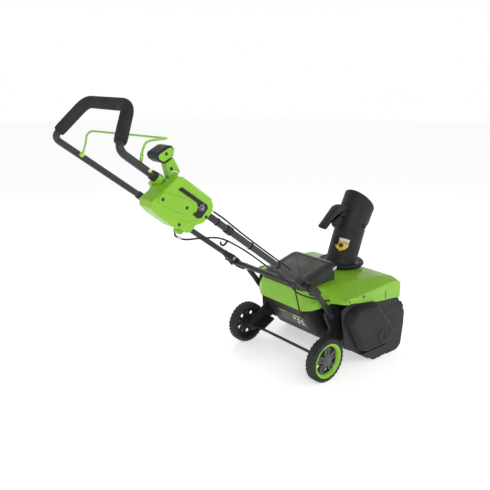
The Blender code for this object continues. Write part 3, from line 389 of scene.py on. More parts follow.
def fillet_path(corners, radii, steps=8):
    points = [Vector(corners[0])]
    for i in range(1, len(corners) - 1):
        spot = Vector(corners[i])
        a = spot + (Vector(corners[i - 1]) - spot).normalized() * radii[i - 1]
        b = spot + (Vector(corners[i + 1]) - spot).normalized() * radii[i - 1]
        for k in range(steps + 1):
            t = k / steps
            points.append(a * (1 - t) ** 2 + spot * 2 * t * (1 - t) + b * t ** 2)
    points.append(Vector(corners[-1]))
    return points


def smooth_path(route, step):
    """Points along a smooth curve through the route's own points."""
    points = []
    ends = [route[0]] + list(route) + [route[-1]]
    for i in range(1, len(ends) - 2):
        p0, p1, p2, p3 = (Vector(p) for p in ends[i - 1:i + 3])
        steps = max(2, round((p2 - p1).length / step))
        for k in range(steps):
            t = k / steps
            points.append(0.5 * (2 * p1 + (p2 - p0) * t + (2 * p0 - 5 * p1 + 4 * p2 - p3) * t * t
                                 + (3 * p1 - p0 - 3 * p2 + p3) * t ** 3))
    points.append(Vector(route[-1]))
    return points


def pipe_loops(path, radius, sides):
    """Circles along a path, carried without twist; radius is a number or one for each point."""
    loops = []
    side = None
    for i, point in enumerate(path):
        ahead = (path[min(i + 1, len(path) - 1)] - path[max(i - 1, 0)]).normalized()
        if side is None:
            side = ahead.orthogonal().normalized()
        side = (side - ahead * side.dot(ahead)).normalized()
        across = ahead.cross(side)
        reach = radius[i] if isinstance(radius, list) else radius
        loops.append([point + (side * math.cos(a) + across * math.sin(a)) * reach
                      for a in (math.tau * k / sides for k in range(sides))])
    return loops


def turned(profile, centre, direction, sides=48, ring=False):
    """A turned solid: profile holds (distance along direction, radius)."""
    direction = Vector(direction).normalized()
    side = direction.orthogonal().normalized()
    across = direction.cross(side)
    loops = []
    for along, radius in profile:
        loops.append([Vector(centre) + direction * along
                      + (side * math.cos(a) + across * math.sin(a)) * radius
                      for a in (math.tau * k / sides for k in range(sides))])
    return stack(loops, ring)


def piece(name, bm, slot, body, *nodes, look=None, angle=35, edge=0.0):
    """Finishes a mesh as a named piece that rides on body and stands for the CAD nodes."""
    bmesh.ops.recalc_face_normals(bm, faces=bm.faces)
    mesh = bpy.data.meshes.new(name)
    bm.to_mesh(mesh)
    bm.free()
    mesh.materials.append(LOOKS[look or slot])
    mesh.shade_smooth()
    if not edge:
        mesh.set_sharp_from_angle(angle=math.radians(angle))
    obj = bpy.data.objects.new(name, mesh)
    bpy.context.scene.collection.objects.link(obj)
    if edge:
        bevel = obj.modifiers.new("edges", "BEVEL")
        bevel.width = edge
        bevel.segments = 3
        bevel.limit_method = "ANGLE"
        bevel.angle_limit = math.radians(28)
        bevel.miter_outer = "MITER_ARC"
        weighted = obj.modifiers.new("shading", "WEIGHTED_NORMAL")
        weighted.keep_sharp = True
    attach(obj, body)
    if nodes:
        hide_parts(*nodes)
    return obj


def refined(node, edge, look=None):
    """The CAD node's own shape with its flat facets merged and its edges rounded."""
    bm = bmesh.new()
    bm.from_mesh(frame["nodes"][node].data)
    bmesh.ops.remove_doubles(bm, verts=bm.verts, dist=0.00002)
    bmesh.ops.dissolve_limit(bm, angle_limit=math.radians(1.2), verts=bm.verts, edges=bm.edges)
    return piece(f"{node}_fine", bm, SLOT_OF[node], BODY_OF[node], node, look=look, edge=edge)


def screw(name, spot, direction, radius, body, slot="dark_steel"):
    """A pan-head screw in a shallow round seat, with a round dimple in its head."""
    direction = Vector(direction).normalized()
    head = turned([(0.0, radius * 0.55), (0.0003, radius), (0.0012, radius * 0.94), (0.0018, radius * 0.6),
                   (0.0019, radius * 0.3), (0.0008, radius * 0.26)], spot, direction, 24)
    seat = turned([(0.00005, radius * 1.02), (0.0010, radius * 1.04), (0.0010, radius * 1.45),
                   (0.00005, radius * 1.6)], spot, direction, 24, ring=True)
    piece(f"{name}_seat", seat, "black_plastic", body, look="shadow_black")
    piece(name, head, slot, body)


# ---------------------------------------------------------------- wheels

def make_tyre(tag):
    """A moulded tyre: two staggered rows of lugs, a zigzag middle rib and a stepped side wall."""
    low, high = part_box(f"tyre_{tag}")
    centre, outer, half = (low + high) / 2, (high.z - low.z) / 2, (high.x - low.x) / 2
    bead, lugs, per_lug, groove = 0.0717, 30, 8, 0.0034
    wall = [(-0.80, bead), (-0.97, bead + 0.0022), (-1.0, 0.0755), (-0.985, 0.0765), (-0.985, 0.0775),
            (-0.95, 0.0812), (-0.88, 0.0852)]
    tread = [(x, outer - 0.0020 * abs(x) ** 3) for x in (-0.80, -0.62, -0.44, -0.28, -0.12, 0.0,
                                                      0.12, 0.28, 0.44, 0.62, 0.80)]
    profile = wall + tread + [(-x, r) for x, r in wall[::-1]]
    loops = []
    for k in range(lugs * per_lug):
        angle = math.tau * k / (lugs * per_lug)
        loop = []
        for x, radius in profile:
            turn = (k / per_lug + (0.5 if x > 0 else 0.0) + abs(x) * 0.45) % 1
            if abs(x) > 0.10 and radius > 0.080 and turn < 0.36:
                radius -= groove * min(1.0, abs(x) * 2.2)
            loop.append(centre + Vector((x * half, radius * math.cos(angle), radius * math.sin(angle))))
        loops.append(loop)
    piece(f"tyre_{tag}_tread", stack(loops, ring=True), "tyre", f"wheel_{tag}", f"tyre_{tag}", angle=40)


def sector(centre, out, x, spans):
    """Points at distance x along out, at the (radius, angle) spans, round the wheel's axis."""
    return [centre + out * x + Vector((0, r * math.cos(a), r * math.sin(a))) for r, a in spans]


def make_rim(tag, out):
    """Green outer dish, black pierced disc behind it and a grey five-spoke star in front."""
    body, centre = f"wheel_{tag}", middle(f"tyre_{tag}")
    ring = [(0.0205, 0.0706), (0.0212, 0.0690), (0.0204, 0.0650), (0.0170, 0.0600), (0.0080, 0.0560),
            (0.0072, 0.0562), (0.0150, 0.0625), (0.0160, 0.0706)]
    piece(f"rim_ring_{tag}", turned(ring, centre, out, 96, ring=True), "green_shell", body)
    barrel = [(0.0158, 0.0711), (-0.0165, 0.0711), (-0.0175, 0.0690), (-0.0165, 0.0668), (0.0010, 0.0620),
              (0.0060, 0.0600), (0.0150, 0.0650)]
    piece(f"rim_barrel_{tag}", turned(barrel, centre, out, 96, ring=True), "black_plastic", body)
    windows, steps = 10, 6
    bm = bmesh.new()
    rows = []
    radii = (0.0115, 0.0300, 0.0365, 0.0500, 0.0608)
    for k in range(windows * steps):
        angle = math.tau * k / (windows * steps)
        rows.append([bm.verts.new(p) for p in sector(centre, out, 0.0020, [(r, angle) for r in radii])])
    for k, low in enumerate(rows):
        high = rows[(k + 1) % len(rows)]
        for i in range(len(radii) - 1):
            if i == 2 and k % steps in (1, 2, 3):
                continue
            bm.faces.new((low[i], high[i], high[i + 1], low[i + 1]))
    bmesh.ops.recalc_face_normals(bm, faces=bm.faces)
    disc = piece(f"rim_disc_{tag}", bm, "black_plastic", body, f"rim_{tag}")
    shell = disc.modifiers.new("thickness", "SOLIDIFY")
    shell.thickness, shell.offset = 0.0042, 0.0
    smooth = disc.modifiers.new("smooth", "SUBSURF")
    smooth.levels = smooth.render_levels = 2
    hub = [(-0.0188, 0.0066), (-0.0188, 0.0165), (-0.0160, 0.0185), (0.0010, 0.0200), (0.0120, 0.0180),
           (0.0120, 0.0066)]
    piece(f"rim_hub_{tag}", turned(hub, centre, out, 64, ring=True), "black_plastic", body)
    make_star(tag, centre, out)


def make_star(tag, centre, out):
    body, petals = f"wheel_{tag}", 5
    bodies = []
    for k in range(petals):
        heading = math.tau * (k + 0.25) / petals
        along = Vector((0, math.cos(heading), math.sin(heading)))
        across = Vector((0, -math.sin(heading), math.cos(heading)))
        outline = [(0.014, -0.0115), (0.040, -0.0140), (0.0545, -0.0105), (0.0545, 0.0105),
                   (0.040, 0.0140), (0.014, 0.0115)]
        rim = rounded(outline, 0.007, 5)
        pocket = [Vector((0.5 * (p.x - 0.036) * 1.10 + 0.0375, p.y * 0.52)) for p in rim]
        loops = []
        for shape, x in ((rim, 0.0040), (rim, 0.0118), (offset(rim, -0.0009), 0.0128),
                         (offset(pocket, 0.0008), 0.0128), (pocket, 0.0120), (pocket, 0.0078)):
            loops.append([centre + out * x + along * p.x + across * p.y for p in shape])
        bodies.append(stack(loops))
    piece(f"spokes_{tag}", join(*bodies), "grey_plastic", body, f"hub_cover_{tag}", angle=30)
    cap = [(0.0040, 0.0215), (0.0142, 0.0215), (0.0158, 0.0200), (0.0164, 0.0150), (0.0170, 0.0145),
           (0.0176, 0.0105), (0.0186, 0.0100), (0.0190, 0.0060)]
    piece(f"hub_cap_{tag}", turned(cap, centre, out, 64), "grey_plastic", body)


# ---------------------------------------------------------------- hood and rear body

def hood_stations():
    """(y, half-width, hem z, shoulder z, roof half-width, roof z) from the front lip to the rear hem."""
    wide = 0.2545
    return [(-0.4330, 0.2490, 0.2420, 0.2425, 0.190, 0.2425),
            (-0.4345, 0.2520, 0.2480, 0.2940, 0.200, 0.3040),
            (-0.4290, wide, 0.2485, 0.3130, 0.212, 0.3230),
            (-0.4100, wide, 0.2500, 0.3250, 0.220, 0.3365),
            (-0.3700, wide, 0.2540, 0.3280, 0.218, 0.3430),
            (-0.3300, wide, 0.2580, 0.3260, 0.208, 0.3466),
            (-0.2700, wide, 0.2635, 0.3220, 0.190, 0.3466),
            (-0.2000, wide, 0.2790, 0.3200, 0.168, 0.3466),
            (-0.1300, wide, 0.2945, 0.3180, 0.152, 0.3450),
            (-0.0950, wide, 0.2980, 0.3160, 0.145, 0.3430),
            (-0.0840, 0.2500, 0.2970, 0.3100, 0.142, 0.3420),
            (-0.0740, 0.1900, 0.2880, 0.3060, 0.140, 0.3410),
            (-0.0450, 0.1800, 0.2800, 0.3000, 0.136, 0.3400),
            (-0.0200, 0.1700, 0.2720, 0.2960, 0.130, 0.3390),
            (0.0000, 0.1500, 0.2630, 0.2900, 0.124, 0.3380),
            (0.0150, 0.1220, 0.2570, 0.2850, 0.114, 0.3375),
            (0.0190, 0.1080, 0.2560, 0.2565, 0.100, 0.2570)]


def hide_cutter(bm, name):
    mesh = bpy.data.meshes.new(name)
    bmesh.ops.recalc_face_normals(bm, faces=bm.faces)
    bm.to_mesh(mesh)
    bm.free()
    cutter = bpy.data.objects.new(name, mesh)
    bpy.context.scene.collection.objects.link(cutter)
    return cutter


def applied(obj):
    """Applies the object's modifiers and returns the final mesh as a bmesh, removing the object."""
    graph = bpy.context.evaluated_depsgraph_get()
    mesh = bpy.data.meshes.new_from_object(obj.evaluated_get(graph))
    bm = bmesh.new()
    bm.from_mesh(mesh)
    bpy.data.objects.remove(obj)
    return bm


def make_hood():
    bm = bmesh.new()
    rows = []
    for y, half, hem, shoulder, roof_half, roof in hood_stations():
        mid_x, mid_z = 0.42 * half + 0.58 * roof_half, 0.35 * shoulder + 0.65 * roof
        side = [(half, hem), (half, min(hem + 0.006, 0.5 * (hem + shoulder))), (half * 0.9985, shoulder),
                (mid_x, mid_z), (roof_half, roof), (roof_half * 0.5, roof)]
        row = [(x, z) for x, z in side] + [(0, roof)] + [(-x, z) for x, z in side[::-1]]
        rows.append([bm.verts.new(here(x, y, z)) for x, z in row])
    for low, high in zip(rows, rows[1:]):
        for i in range(len(low) - 1):
            bm.faces.new((low[i], low[i + 1], high[i + 1], high[i]))
    bmesh.ops.recalc_face_normals(bm, faces=bm.faces)
    if sum(face.normal.z for face in bm.faces) < 0:
        bmesh.ops.reverse_faces(bm, faces=bm.faces)
    crease = bm.edges.layers.float.new("crease_edge")
    for edge in bm.edges:
        turn = edge.calc_face_angle(0.0)
        if len(edge.link_faces) == 1:
            edge[crease] = 1.0
        elif turn > math.radians(26):
            edge[crease] = 0.85
        elif turn > math.radians(12):
            edge[crease] = 0.60
    mesh = bpy.data.meshes.new("hood_draft")
    bm.to_mesh(mesh)
    bm.free()
    draft = bpy.data.objects.new("hood_draft", mesh)
    bpy.context.scene.collection.objects.link(draft)
    smooth = draft.modifiers.new("smooth", "SUBSURF")
    smooth.levels = smooth.render_levels = 3
    shell = draft.modifiers.new("thickness", "SOLIDIFY")
    shell.thickness, shell.offset = 0.003, -1
    bay_low, bay_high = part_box("battery_tray")
    inset = 0.0085
    bay = rounded([(bay_low.x + inset, bay_low.y + 0.0030), (bay_high.x - inset, bay_low.y + 0.0030),
                   (bay_high.x - inset, bay_high.y - 0.0055), (bay_low.x + inset, bay_high.y - 0.0055)], 0.012)
    neck = middle("chute_collar")
    passage = turned([(0.0, 0.0660), (0.16, 0.0660)], (neck.x, neck.y, 0.26), (0, 0, 1), 64)
    cutters = [hide_cutter(passage, "neck_cut"),
               hide_cutter(stack([[Vector((p.x, p.y, z)) for p in bay] for z in (0.30, 0.37)]), "bay_cut")]
    for cutter in cutters:
        opening = draft.modifiers.new(cutter.name, "BOOLEAN")
        opening.operation = "DIFFERENCE"
        opening.solver = "EXACT"
        opening.object = cutter
    hood = applied(draft)
    for cutter in cutters:
        bpy.data.objects.remove(cutter)
    piece("hood_shell", hood, "green_shell", "chassis", "hood", angle=42)


def make_hood_details():
    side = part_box("hood")[0].x
    for name, y, z, radius in (("side_recess", -0.1876, 0.3080, 0.0052),):
        seat = turned([(0.0, radius), (0.0006, radius * 1.08), (0.0006, radius * 0.9), (-0.0030, radius * 0.78)],
                      here(side, y, z), OUT_RIGHT, 32)
        piece(f"hood_{name}", seat, "green_shell", "chassis", look="shadow_black")
    slot = rounded([(0, -0.3330, 0.2620), (0, -0.3285, 0.2620), (0, -0.3285, 0.2960), (0, -0.3330, 0.2960)], 0.002)
    bm = extrude([here(side - 0.0003, p.y, p.z) for p in slot], Vector((0.002, 0, 0)))
    piece("hood_side_slot", bm, "green_shell", "chassis", look="shadow_black")
    pad = rounded([(0, -0.0860, 0.2985), (0, -0.0960, 0.2975), (0, -0.1560, 0.3080), (0, -0.1560, 0.3150),
                   (0, -0.1040, 0.3225), (0, -0.0860, 0.3180)], 0.003)
    for sign in (-1, 1):
        x = abs(side) * sign
        out = Vector((sign, 0, 0))
        tag = "right" if sign < 0 else "left"
        bm = extrude([here(x, p.y, p.z) - out * 0.003 for p in pad], out * 0.0070)
        piece(f"hood_pad_{tag}", bm, "green_shell", "chassis", edge=0.0012)
        screw(f"hood_pad_screw_{tag}", here(x, -0.0985, 0.3090) + out * 0.0040, out, 0.0030, "chassis")
    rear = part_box("hood")[1].y
    for k, x in enumerate((0.0907, -0.0986)):
        spot = Vector((x, rear - 0.0032, 0.2705))
        screw(f"hood_rear_screw_{k}", spot, (0, 1, -0.05), 0.0030, "chassis")


def make_label(name, corners, lift, look, thick=0.0006):
    """A thin plate with rounded corners laid on the sloping rear of the body."""
    normal = (corners[1] - corners[0]).cross(corners[2] - corners[1]).normalized()
    if normal.y < 0:
        normal = -normal
    outline = [p + normal * lift for p in rounded(corners, 0.005)]
    return piece(name, extrude(outline, normal * thick), "black_plastic", "chassis", look=look)


def rear_spot(x, z, lift=0.0):
    """A point on the sloping rear wall of the lower body."""
    heights = [(0.112, -0.088), (0.125, -0.079), (0.160, -0.054), (0.200, -0.026), (0.235, -0.002), (0.262, 0.012)]
    for (z0, y0), (z1, y1) in zip(heights, heights[1:]):
        if z <= z1:
            break
    return here(x, y0 + (y1 - y0) * (z - z0) / (z1 - z0) + lift, z)


def make_rear_label():
    """A plain dark rating panel with blank blocks where the real one is printed."""
    def block(name, x0, x1, z0, z1, lift, look):
        corners = [rear_spot(x0, z0), rear_spot(x1, z0), rear_spot(x1, z1), rear_spot(x0, z1)]
        make_label(name, corners, lift, look)

    block("label_frame", 0.100, -0.100, 0.130, 0.218, 0.0002, "black_plastic")
    block("label_panel", 0.058, -0.096, 0.150, 0.213, 0.0009, "label_dark")
    block("label_green_bar", 0.050, 0.012, 0.2035, 0.2085, 0.0016, "green_shell")
    block("label_yellow_bar", -0.034, -0.074, 0.2020, 0.2085, 0.0016, "label_yellow")
    for k, (x, z, wide, tall) in enumerate(((-0.030, 0.186, 0.014, 0.012), (-0.052, 0.186, 0.012, 0.012),
                                            (-0.072, 0.184, 0.012, 0.014), (-0.046, 0.168, 0.016, 0.009),
                                            (-0.070, 0.166, 0.014, 0.009))):
        block(f"label_white_{k}", x + wide / 2, x - wide / 2, z - tall / 2, z + tall / 2, 0.0016, "label_white")
    block("label_grey_block", 0.046, 0.028, 0.180, 0.192, 0.0016, "grey_plastic")


# ---------------------------------------------------------------- battery bay

def rim_z(y):
    return 0.3540 + (0.016 - y) * 0.27


def plan(half, front, rear, corner):
    return rounded([(-half, front), (half, front), (half, rear), (-half, rear)], corner, 6)


def lid_point(x, y, lift):
    return here(x, y, rim_z(y) + lift)


def lid_loop(outline, lift):
    return [lid_point(p.x, p.y, lift) for p in outline]


def make_lid():
    """A chamfered plateau with a sunk border line, hand recesses and latch trim."""
    base = plan(0.118, -0.1755, 0.0200, 0.027)
    levels = [(0, 0.0004), (0.0, 0.0052), (-0.0012, 0.0068), (-0.0125, 0.0117), (-0.0150, 0.0125),
              (-0.0205, 0.0125), (-0.0212, 0.0112), (-0.0232, 0.0112), (-0.0240, 0.0125)]
    loops = [lid_loop(offset(base, inset), lift) for inset, lift in levels]
    piece("lid_moulding", stack(loops), "lid_plastic", "battery_lid", "battery_lid", angle=24)
    for k, x in enumerate((-0.052, -0.026)):
        scoop = [lid_point(x + 0.0095 * math.cos(a), -0.0600 + 0.0130 * math.sin(a), 0.01265)
                 for a in (math.tau * i / 28 for i in range(28))]
        inner = [lid_point(x + 0.0080 * math.cos(a), -0.0600 + 0.0112 * math.sin(a), 0.0129)
                 for a in (math.tau * i / 28 for i in range(28))]
        low = [p - Vector((0, 0, 0.0006)) for p in inner]
        piece(f"lid_scoop_{k}", stack([scoop, inner, low]), "lid_plastic", "battery_lid", look="black_plastic")
    for k, x in enumerate((-0.0885, 0.0885)):
        rail = plan(0.0035, -0.150, -0.006, 0.003)
        bm = stack([lid_loop([p + Vector((x, 0)) for p in rail], 0.0124),
                    lid_loop([p + Vector((x, 0)) for p in offset(rail, -0.0012)], 0.0142)])
        piece(f"lid_rail_{k}", bm, "lid_plastic", "battery_lid", angle=30)
    for k in range(7):
        y = -0.144 + 0.0215 * k
        for sign in (-1, 1):
            rib = [lid_point(sign * 0.1186, y, 0.0008), lid_point(sign * 0.1186, y + 0.010, 0.0008),
                   lid_point(sign * 0.1186, y + 0.010, 0.0046), lid_point(sign * 0.1186, y, 0.0046)]
            bm = extrude(rib, Vector((-sign * 0.0012, 0, 0)))
            piece(f"lid_grip_rib_{'l' if sign > 0 else 'r'}{k}", bm, "lid_plastic", "battery_lid", edge=0.0003)


def make_tray_details():
    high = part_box("battery_tray")[1]
    seat = turned([(0.0, 0.0072), (0.0014, 0.0066), (0.0014, 0.0050), (0.0003, 0.0046)],
                  Vector((-0.0950, high.y - 0.0003, 0.3450)), (0, 1, 0), 32)
    piece("tray_plug_seat", seat, "lid_plastic", "chassis", look="shadow_black")
    for sign, tag in ((-1, "right"), (1, "left")):
        x = abs(high.x) * sign
        bracket = rounded([(0, -0.1760, 0.3900), (0, -0.1540, 0.3850), (0, -0.1540, 0.3980), (0, -0.1760, 0.4030)],
                          0.003)
        bm = extrude([here(x, p.y, p.z) for p in bracket], Vector((sign * 0.0016, 0, 0)))
        piece(f"tray_catch_{tag}", bm, "plated_steel", "chassis", edge=0.0004)


# ---------------------------------------------------------------- chute

CHUTE_R, CHUTE_LEN, CHUTE_LEAN = 0.0655, 0.160, math.radians(19.5)
DEFLECTOR_R, DEFLECTOR_LEN = 0.0705, 0.105
DEFLECTOR_LEAN, MOUTH_CUT = math.radians(26.6), math.radians(20.5)
CHUTE = here(0, -0.342, 0.3585)
LEAN = Vector((0, -math.sin(CHUTE_LEAN), math.cos(CHUTE_LEAN)))
TILT = CHUTE + LEAN * (CHUTE_LEN + 0.012)
TIPPED = Vector((0, -math.sin(DEFLECTOR_LEAN), math.cos(DEFLECTOR_LEAN)))
BEHIND = Vector((0, math.cos(DEFLECTOR_LEAN), math.sin(DEFLECTOR_LEAN)))
ROUND = 112


def slant(along, radius, tilt=1.0):
    lean = CHUTE_LEAN * tilt
    back = Vector((0, math.cos(lean), math.sin(lean)))
    centre = CHUTE + LEAN * along
    return [centre + OUT_LEFT * radius * math.cos(a) + back * radius * math.sin(a)
            for a in (math.tau * k / ROUND for k in range(ROUND))]


def level(radius, z):
    return [Vector((CHUTE.x + radius * math.cos(a), CHUTE.y + radius * math.sin(a), z))
            for a in (math.tau * k / ROUND for k in range(ROUND))]


def tipped(radius, along):
    loop = []
    for k in range(ROUND):
        angle = math.tau * k / ROUND
        behind = radius * math.sin(angle)
        loop.append(TILT + OUT_LEFT * radius * math.cos(angle) + BEHIND * behind + TIPPED * along(behind))
    return loop


def skirt(radius, lift=0.0):
    def along(behind):
        step = min(max((behind + 0.0095) / 0.009, 0), 1)
        front = -0.0085 - 0.75 * behind
        return lift + front + (-0.040 - front) * step * step * (3 - 2 * step)
    return tipped(radius, along)


def mouth(radius, lift=0.0):
    return tipped(radius, lambda behind: lift + DEFLECTOR_LEN + behind * math.tan(MOUTH_CUT))


def make_chute():
    wall = 0.003
    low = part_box("chute_tube")[0].z
    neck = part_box("chute_collar")[1].x
    tube = [level(0.061, low), level(0.0965, low), level(0.0970, low + 0.0010), level(0.0970, low + 0.0085),
            level(0.0955, low + 0.0118), level(0.0930, low + 0.0135), level(0.0890, low + 0.0140),
            level(0.0855, low + 0.0118), level(CHUTE_R + 0.0100, low + 0.0114), level(CHUTE_R + 0.0055, low + 0.0126),
            slant(0.0125, CHUTE_R + 0.0022, 0.1), slant(0.019, CHUTE_R + 0.0004, 0.3),
            slant(0.030, CHUTE_R, 0.7), slant(0.042, CHUTE_R), slant(0.080, CHUTE_R), slant(0.120, CHUTE_R),
            slant(CHUTE_LEN - 0.001, CHUTE_R), slant(CHUTE_LEN, CHUTE_R - 0.001),
            slant(CHUTE_LEN, CHUTE_R - wall + 0.0006), slant(CHUTE_LEN - 0.001, CHUTE_R - wall),
            slant(0.100, CHUTE_R - wall), slant(0.042, CHUTE_R - wall), slant(0.004, CHUTE_R - wall, 0.1)]
    piece("chute_moulding", stack(tube, ring=True), "black_plastic", "chute", "chute_tube", angle=30)
    seat_z, top_z = 0.3470, 0.3530
    collar = [level(0.061, 0.2405), level(0.0640, 0.2405), level(0.0640, seat_z - 0.004), level(0.0665, seat_z),
              level(neck - 0.001, seat_z), level(neck, seat_z + 0.001), level(neck, top_z - 0.001),
              level(neck - 0.001, top_z), level(0.061, top_z)]
    piece("collar_moulding", stack(collar, ring=True), "black_plastic", "chassis", "chute_collar", angle=30)
    make_ring_teeth(low)
    make_rack()
    make_sticker()


def make_ring_teeth(low):
    """Gear teeth round the turning ring, under its rim."""
    teeth = []
    for k in range(72):
        angle = math.tau * k / 72
        out = Vector((math.cos(angle), math.sin(angle), 0))
        across = Vector((-math.sin(angle), math.cos(angle), 0))
        root = Vector((CHUTE.x, CHUTE.y, low + 0.0020)) + out * 0.0962
        outline = [root - across * 0.0026, root + out * 0.0026 - across * 0.0013,
                   root + out * 0.0026 + across * 0.0013, root + across * 0.0026]
        teeth.append(extrude(outline, Vector((0, 0, 0.0058))))
    piece("ring_teeth", join(*teeth), "black_plastic", "chute", angle=30)
    clip = [(0.0, 0.0), (0.020, 0.0), (0.020, 0.010), (0.014, 0.016), (0.0, 0.016)]
    right = Vector((CHUTE.x - 0.0965, CHUTE.y - 0.012, low + 0.0125))
    bm = extrude([right + Vector((0.004 + 0.35 * z, y, z)) for y, z in clip], Vector((0.009, 0, 0)))
    piece("ring_stop", bm, "grey_plastic", "chute", edge=0.0012)


def make_rack():
    base = CHUTE + LEAN * (CHUTE_LEN - 0.046)
    back = CHUTE_R / math.cos(CHUTE_LEAN) - 0.0015
    steps = []
    for k in range(5):
        root = base + LEAN * (-0.018 + 0.0075 * k) + Vector((0, back, 0))
        tooth = [root, root + LEAN * 0.0062, root + Vector((0, 0.0100 - 0.0012 * k, -0.0014)),
                 root + Vector((0, 0.0085 - 0.0012 * k, -0.0042))]
        steps.append(extrude([p + OUT_LEFT * 0.012 for p in tooth], OUT_RIGHT * 0.024))
    piece("tilt_rack", join(*steps), "black_plastic", "chute", angle=30)


def wrapped(name, radius, spans, look, steps=14):
    """A thin label wrapped on the leaning tube; spans give (height, first angle, last angle) rows."""
    bm = bmesh.new()
    across = Vector((0, math.cos(CHUTE_LEAN), math.sin(CHUTE_LEAN)))
    rows = []
    for along, first, last in spans:
        row = []
        for k in range(steps + 1):
            angle = math.radians(first + (last - first) * k / steps)
            row.append(bm.verts.new(CHUTE + LEAN * along + OUT_LEFT * radius * math.cos(angle)
                                    + across * radius * math.sin(angle)))
        rows.append(row)
    for low, high in zip(rows, rows[1:]):
        for k in range(steps):
            bm.faces.new((low[k], low[k + 1], high[k + 1], high[k]))
    label = piece(name, bm, "black_plastic", "chute", look=look, angle=80)
    shell = label.modifiers.new("thickness", "SOLIDIFY")
    shell.thickness, shell.offset = 0.0004, 1


STICKER_ANGLE, STICKER_TOP = 113.0, 0.100


def make_sticker():
    """A plain two-colour decal: a blank white header over a blank yellow shield."""
    half = 27.0
    header = [(STICKER_TOP, STICKER_ANGLE - half, STICKER_ANGLE + half),
              (STICKER_TOP - 0.0150, STICKER_ANGLE - half, STICKER_ANGLE + half)]
    wrapped("chute_label_header", CHUTE_R + 0.0003, header, "label_white")
    shield = [(STICKER_TOP - 0.0158, STICKER_ANGLE - half, STICKER_ANGLE + half),
              (STICKER_TOP - 0.034, STICKER_ANGLE - half, STICKER_ANGLE + half),
              (STICKER_TOP - 0.046, STICKER_ANGLE - half * 0.62, STICKER_ANGLE + half * 0.62),
              (STICKER_TOP - 0.057, STICKER_ANGLE - half * 0.10, STICKER_ANGLE + half * 0.10)]
    wrapped("chute_label_shield", CHUTE_R + 0.0003, shield, "label_yellow")
    disc = []
    for k in range(9):
        rise = -1 + 2 * k / 8
        reach = 8.8 * math.sqrt(max(1 - rise * rise, 0.0004))
        disc.append((STICKER_TOP - 0.0315 + 0.0098 * rise, STICKER_ANGLE - reach, STICKER_ANGLE + reach))
    wrapped("chute_label_dot", CHUTE_R + 0.0007, disc, "label_dark")


def make_deflector():
    wide, wall = DEFLECTOR_R, 0.003
    shell = [skirt(wide - 0.0005), skirt(wide, 0.0012), skirt(wide, 0.012), tipped(wide, lambda behind: 0.030),
             mouth(wide, -0.012), mouth(wide + 0.0004, -0.010), mouth(wide + 0.0008, -0.002), mouth(wide, 0.0),
             mouth(wide - wall + 0.0006, 0.0), mouth(wide - wall, -0.001), mouth(wide - wall, -0.012),
             tipped(wide - wall, lambda behind: 0.030), skirt(wide - wall, 0.012), skirt(wide - wall, 0.0004)]
    piece("deflector_moulding", stack(shell, ring=True), "black_plastic", "deflector", "deflector_shell", angle=30)
    for sign, tag in ((1, "left"), (-1, "right")):
        out = Vector((sign, 0, 0))
        spot = TILT + out * (wide - 0.001)
        boss = [(-0.001, 0.0135), (0.0026, 0.0130), (0.0034, 0.0115), (0.0034, 0.0085), (0.0022, 0.0080)]
        piece(f"pivot_boss_{tag}", turned(boss, spot, out, 40), "black_plastic", "deflector")
        bolt = [(0.0020, 0.0062), (0.0062, 0.0062), (0.0070, 0.0052), (0.0070, 0.0026), (0.0050, 0.0022)]
        piece(f"pivot_bolt_{tag}", turned(bolt, spot, out, 6), "dark_steel", "deflector", edge=0.0004)
    grip = [(0.0560, 0.0730), (0.0530, 0.1000), (0.0440, 0.1250), (0.0300, 0.1420), (-0.0740, 0.1835),
            (-0.0780, 0.1640), (-0.0292, 0.1420), (-0.0080, 0.1330), (0.0040, 0.1130), (0.0060, 0.0730)]
    path = rounded(grip, 0.006, 4)
    loops = []
    for x, inset in ((-0.0190, 0.0045), (-0.0178, 0.0016), (-0.0140, 0.0), (0.0140, 0.0), (0.0178, 0.0016),
                     (0.0190, 0.0045)):
        loops.append([TILT + TIPPED * p.x + BEHIND * p.y + OUT_LEFT * x for p in offset(path, -inset)])
    piece("deflector_grip", stack(loops), "black_plastic", "deflector", "deflector_handle", angle=40)
    spot = TILT + TIPPED * 0.034 + BEHIND * 0.112
    screw("deflector_grip_screw", spot + OUT_RIGHT * 0.0188, OUT_RIGHT, 0.0030, "deflector")
    rib = rounded([(0.030, 0.129), (-0.066, 0.1685), (-0.066, 0.1700), (0.030, 0.1315)], 0.0005, 2)
    for sign, tag in ((1, "left"), (-1, "right")):
        bm = extrude([TILT + TIPPED * p.x + BEHIND * p.y + OUT_LEFT * sign * 0.0186 for p in rib],
                     OUT_LEFT * sign * 0.0010)
        piece(f"grip_rib_{tag}", bm, "black_plastic", "deflector")


# ---------------------------------------------------------------- handle

TUBE_R, FOAM_R = 0.011, 0.0182
FOLD = here(0, 0.105, 0.4148)
BAIL = here(0, 0.730, 0.8943)
HANDLE_X, BAIL_X, WIRE_R = 0.2105, 0.1955, 0.0032


def handle_corners(side):
    start = FOLD + OUT_LEFT * side * 0.2055 + UP_TUBE * 0.020
    return [start, here(side * (HANDLE_X + 0.0015), 0.815, 0.9541), here(side * 0.131, 0.733, 1.0625)]


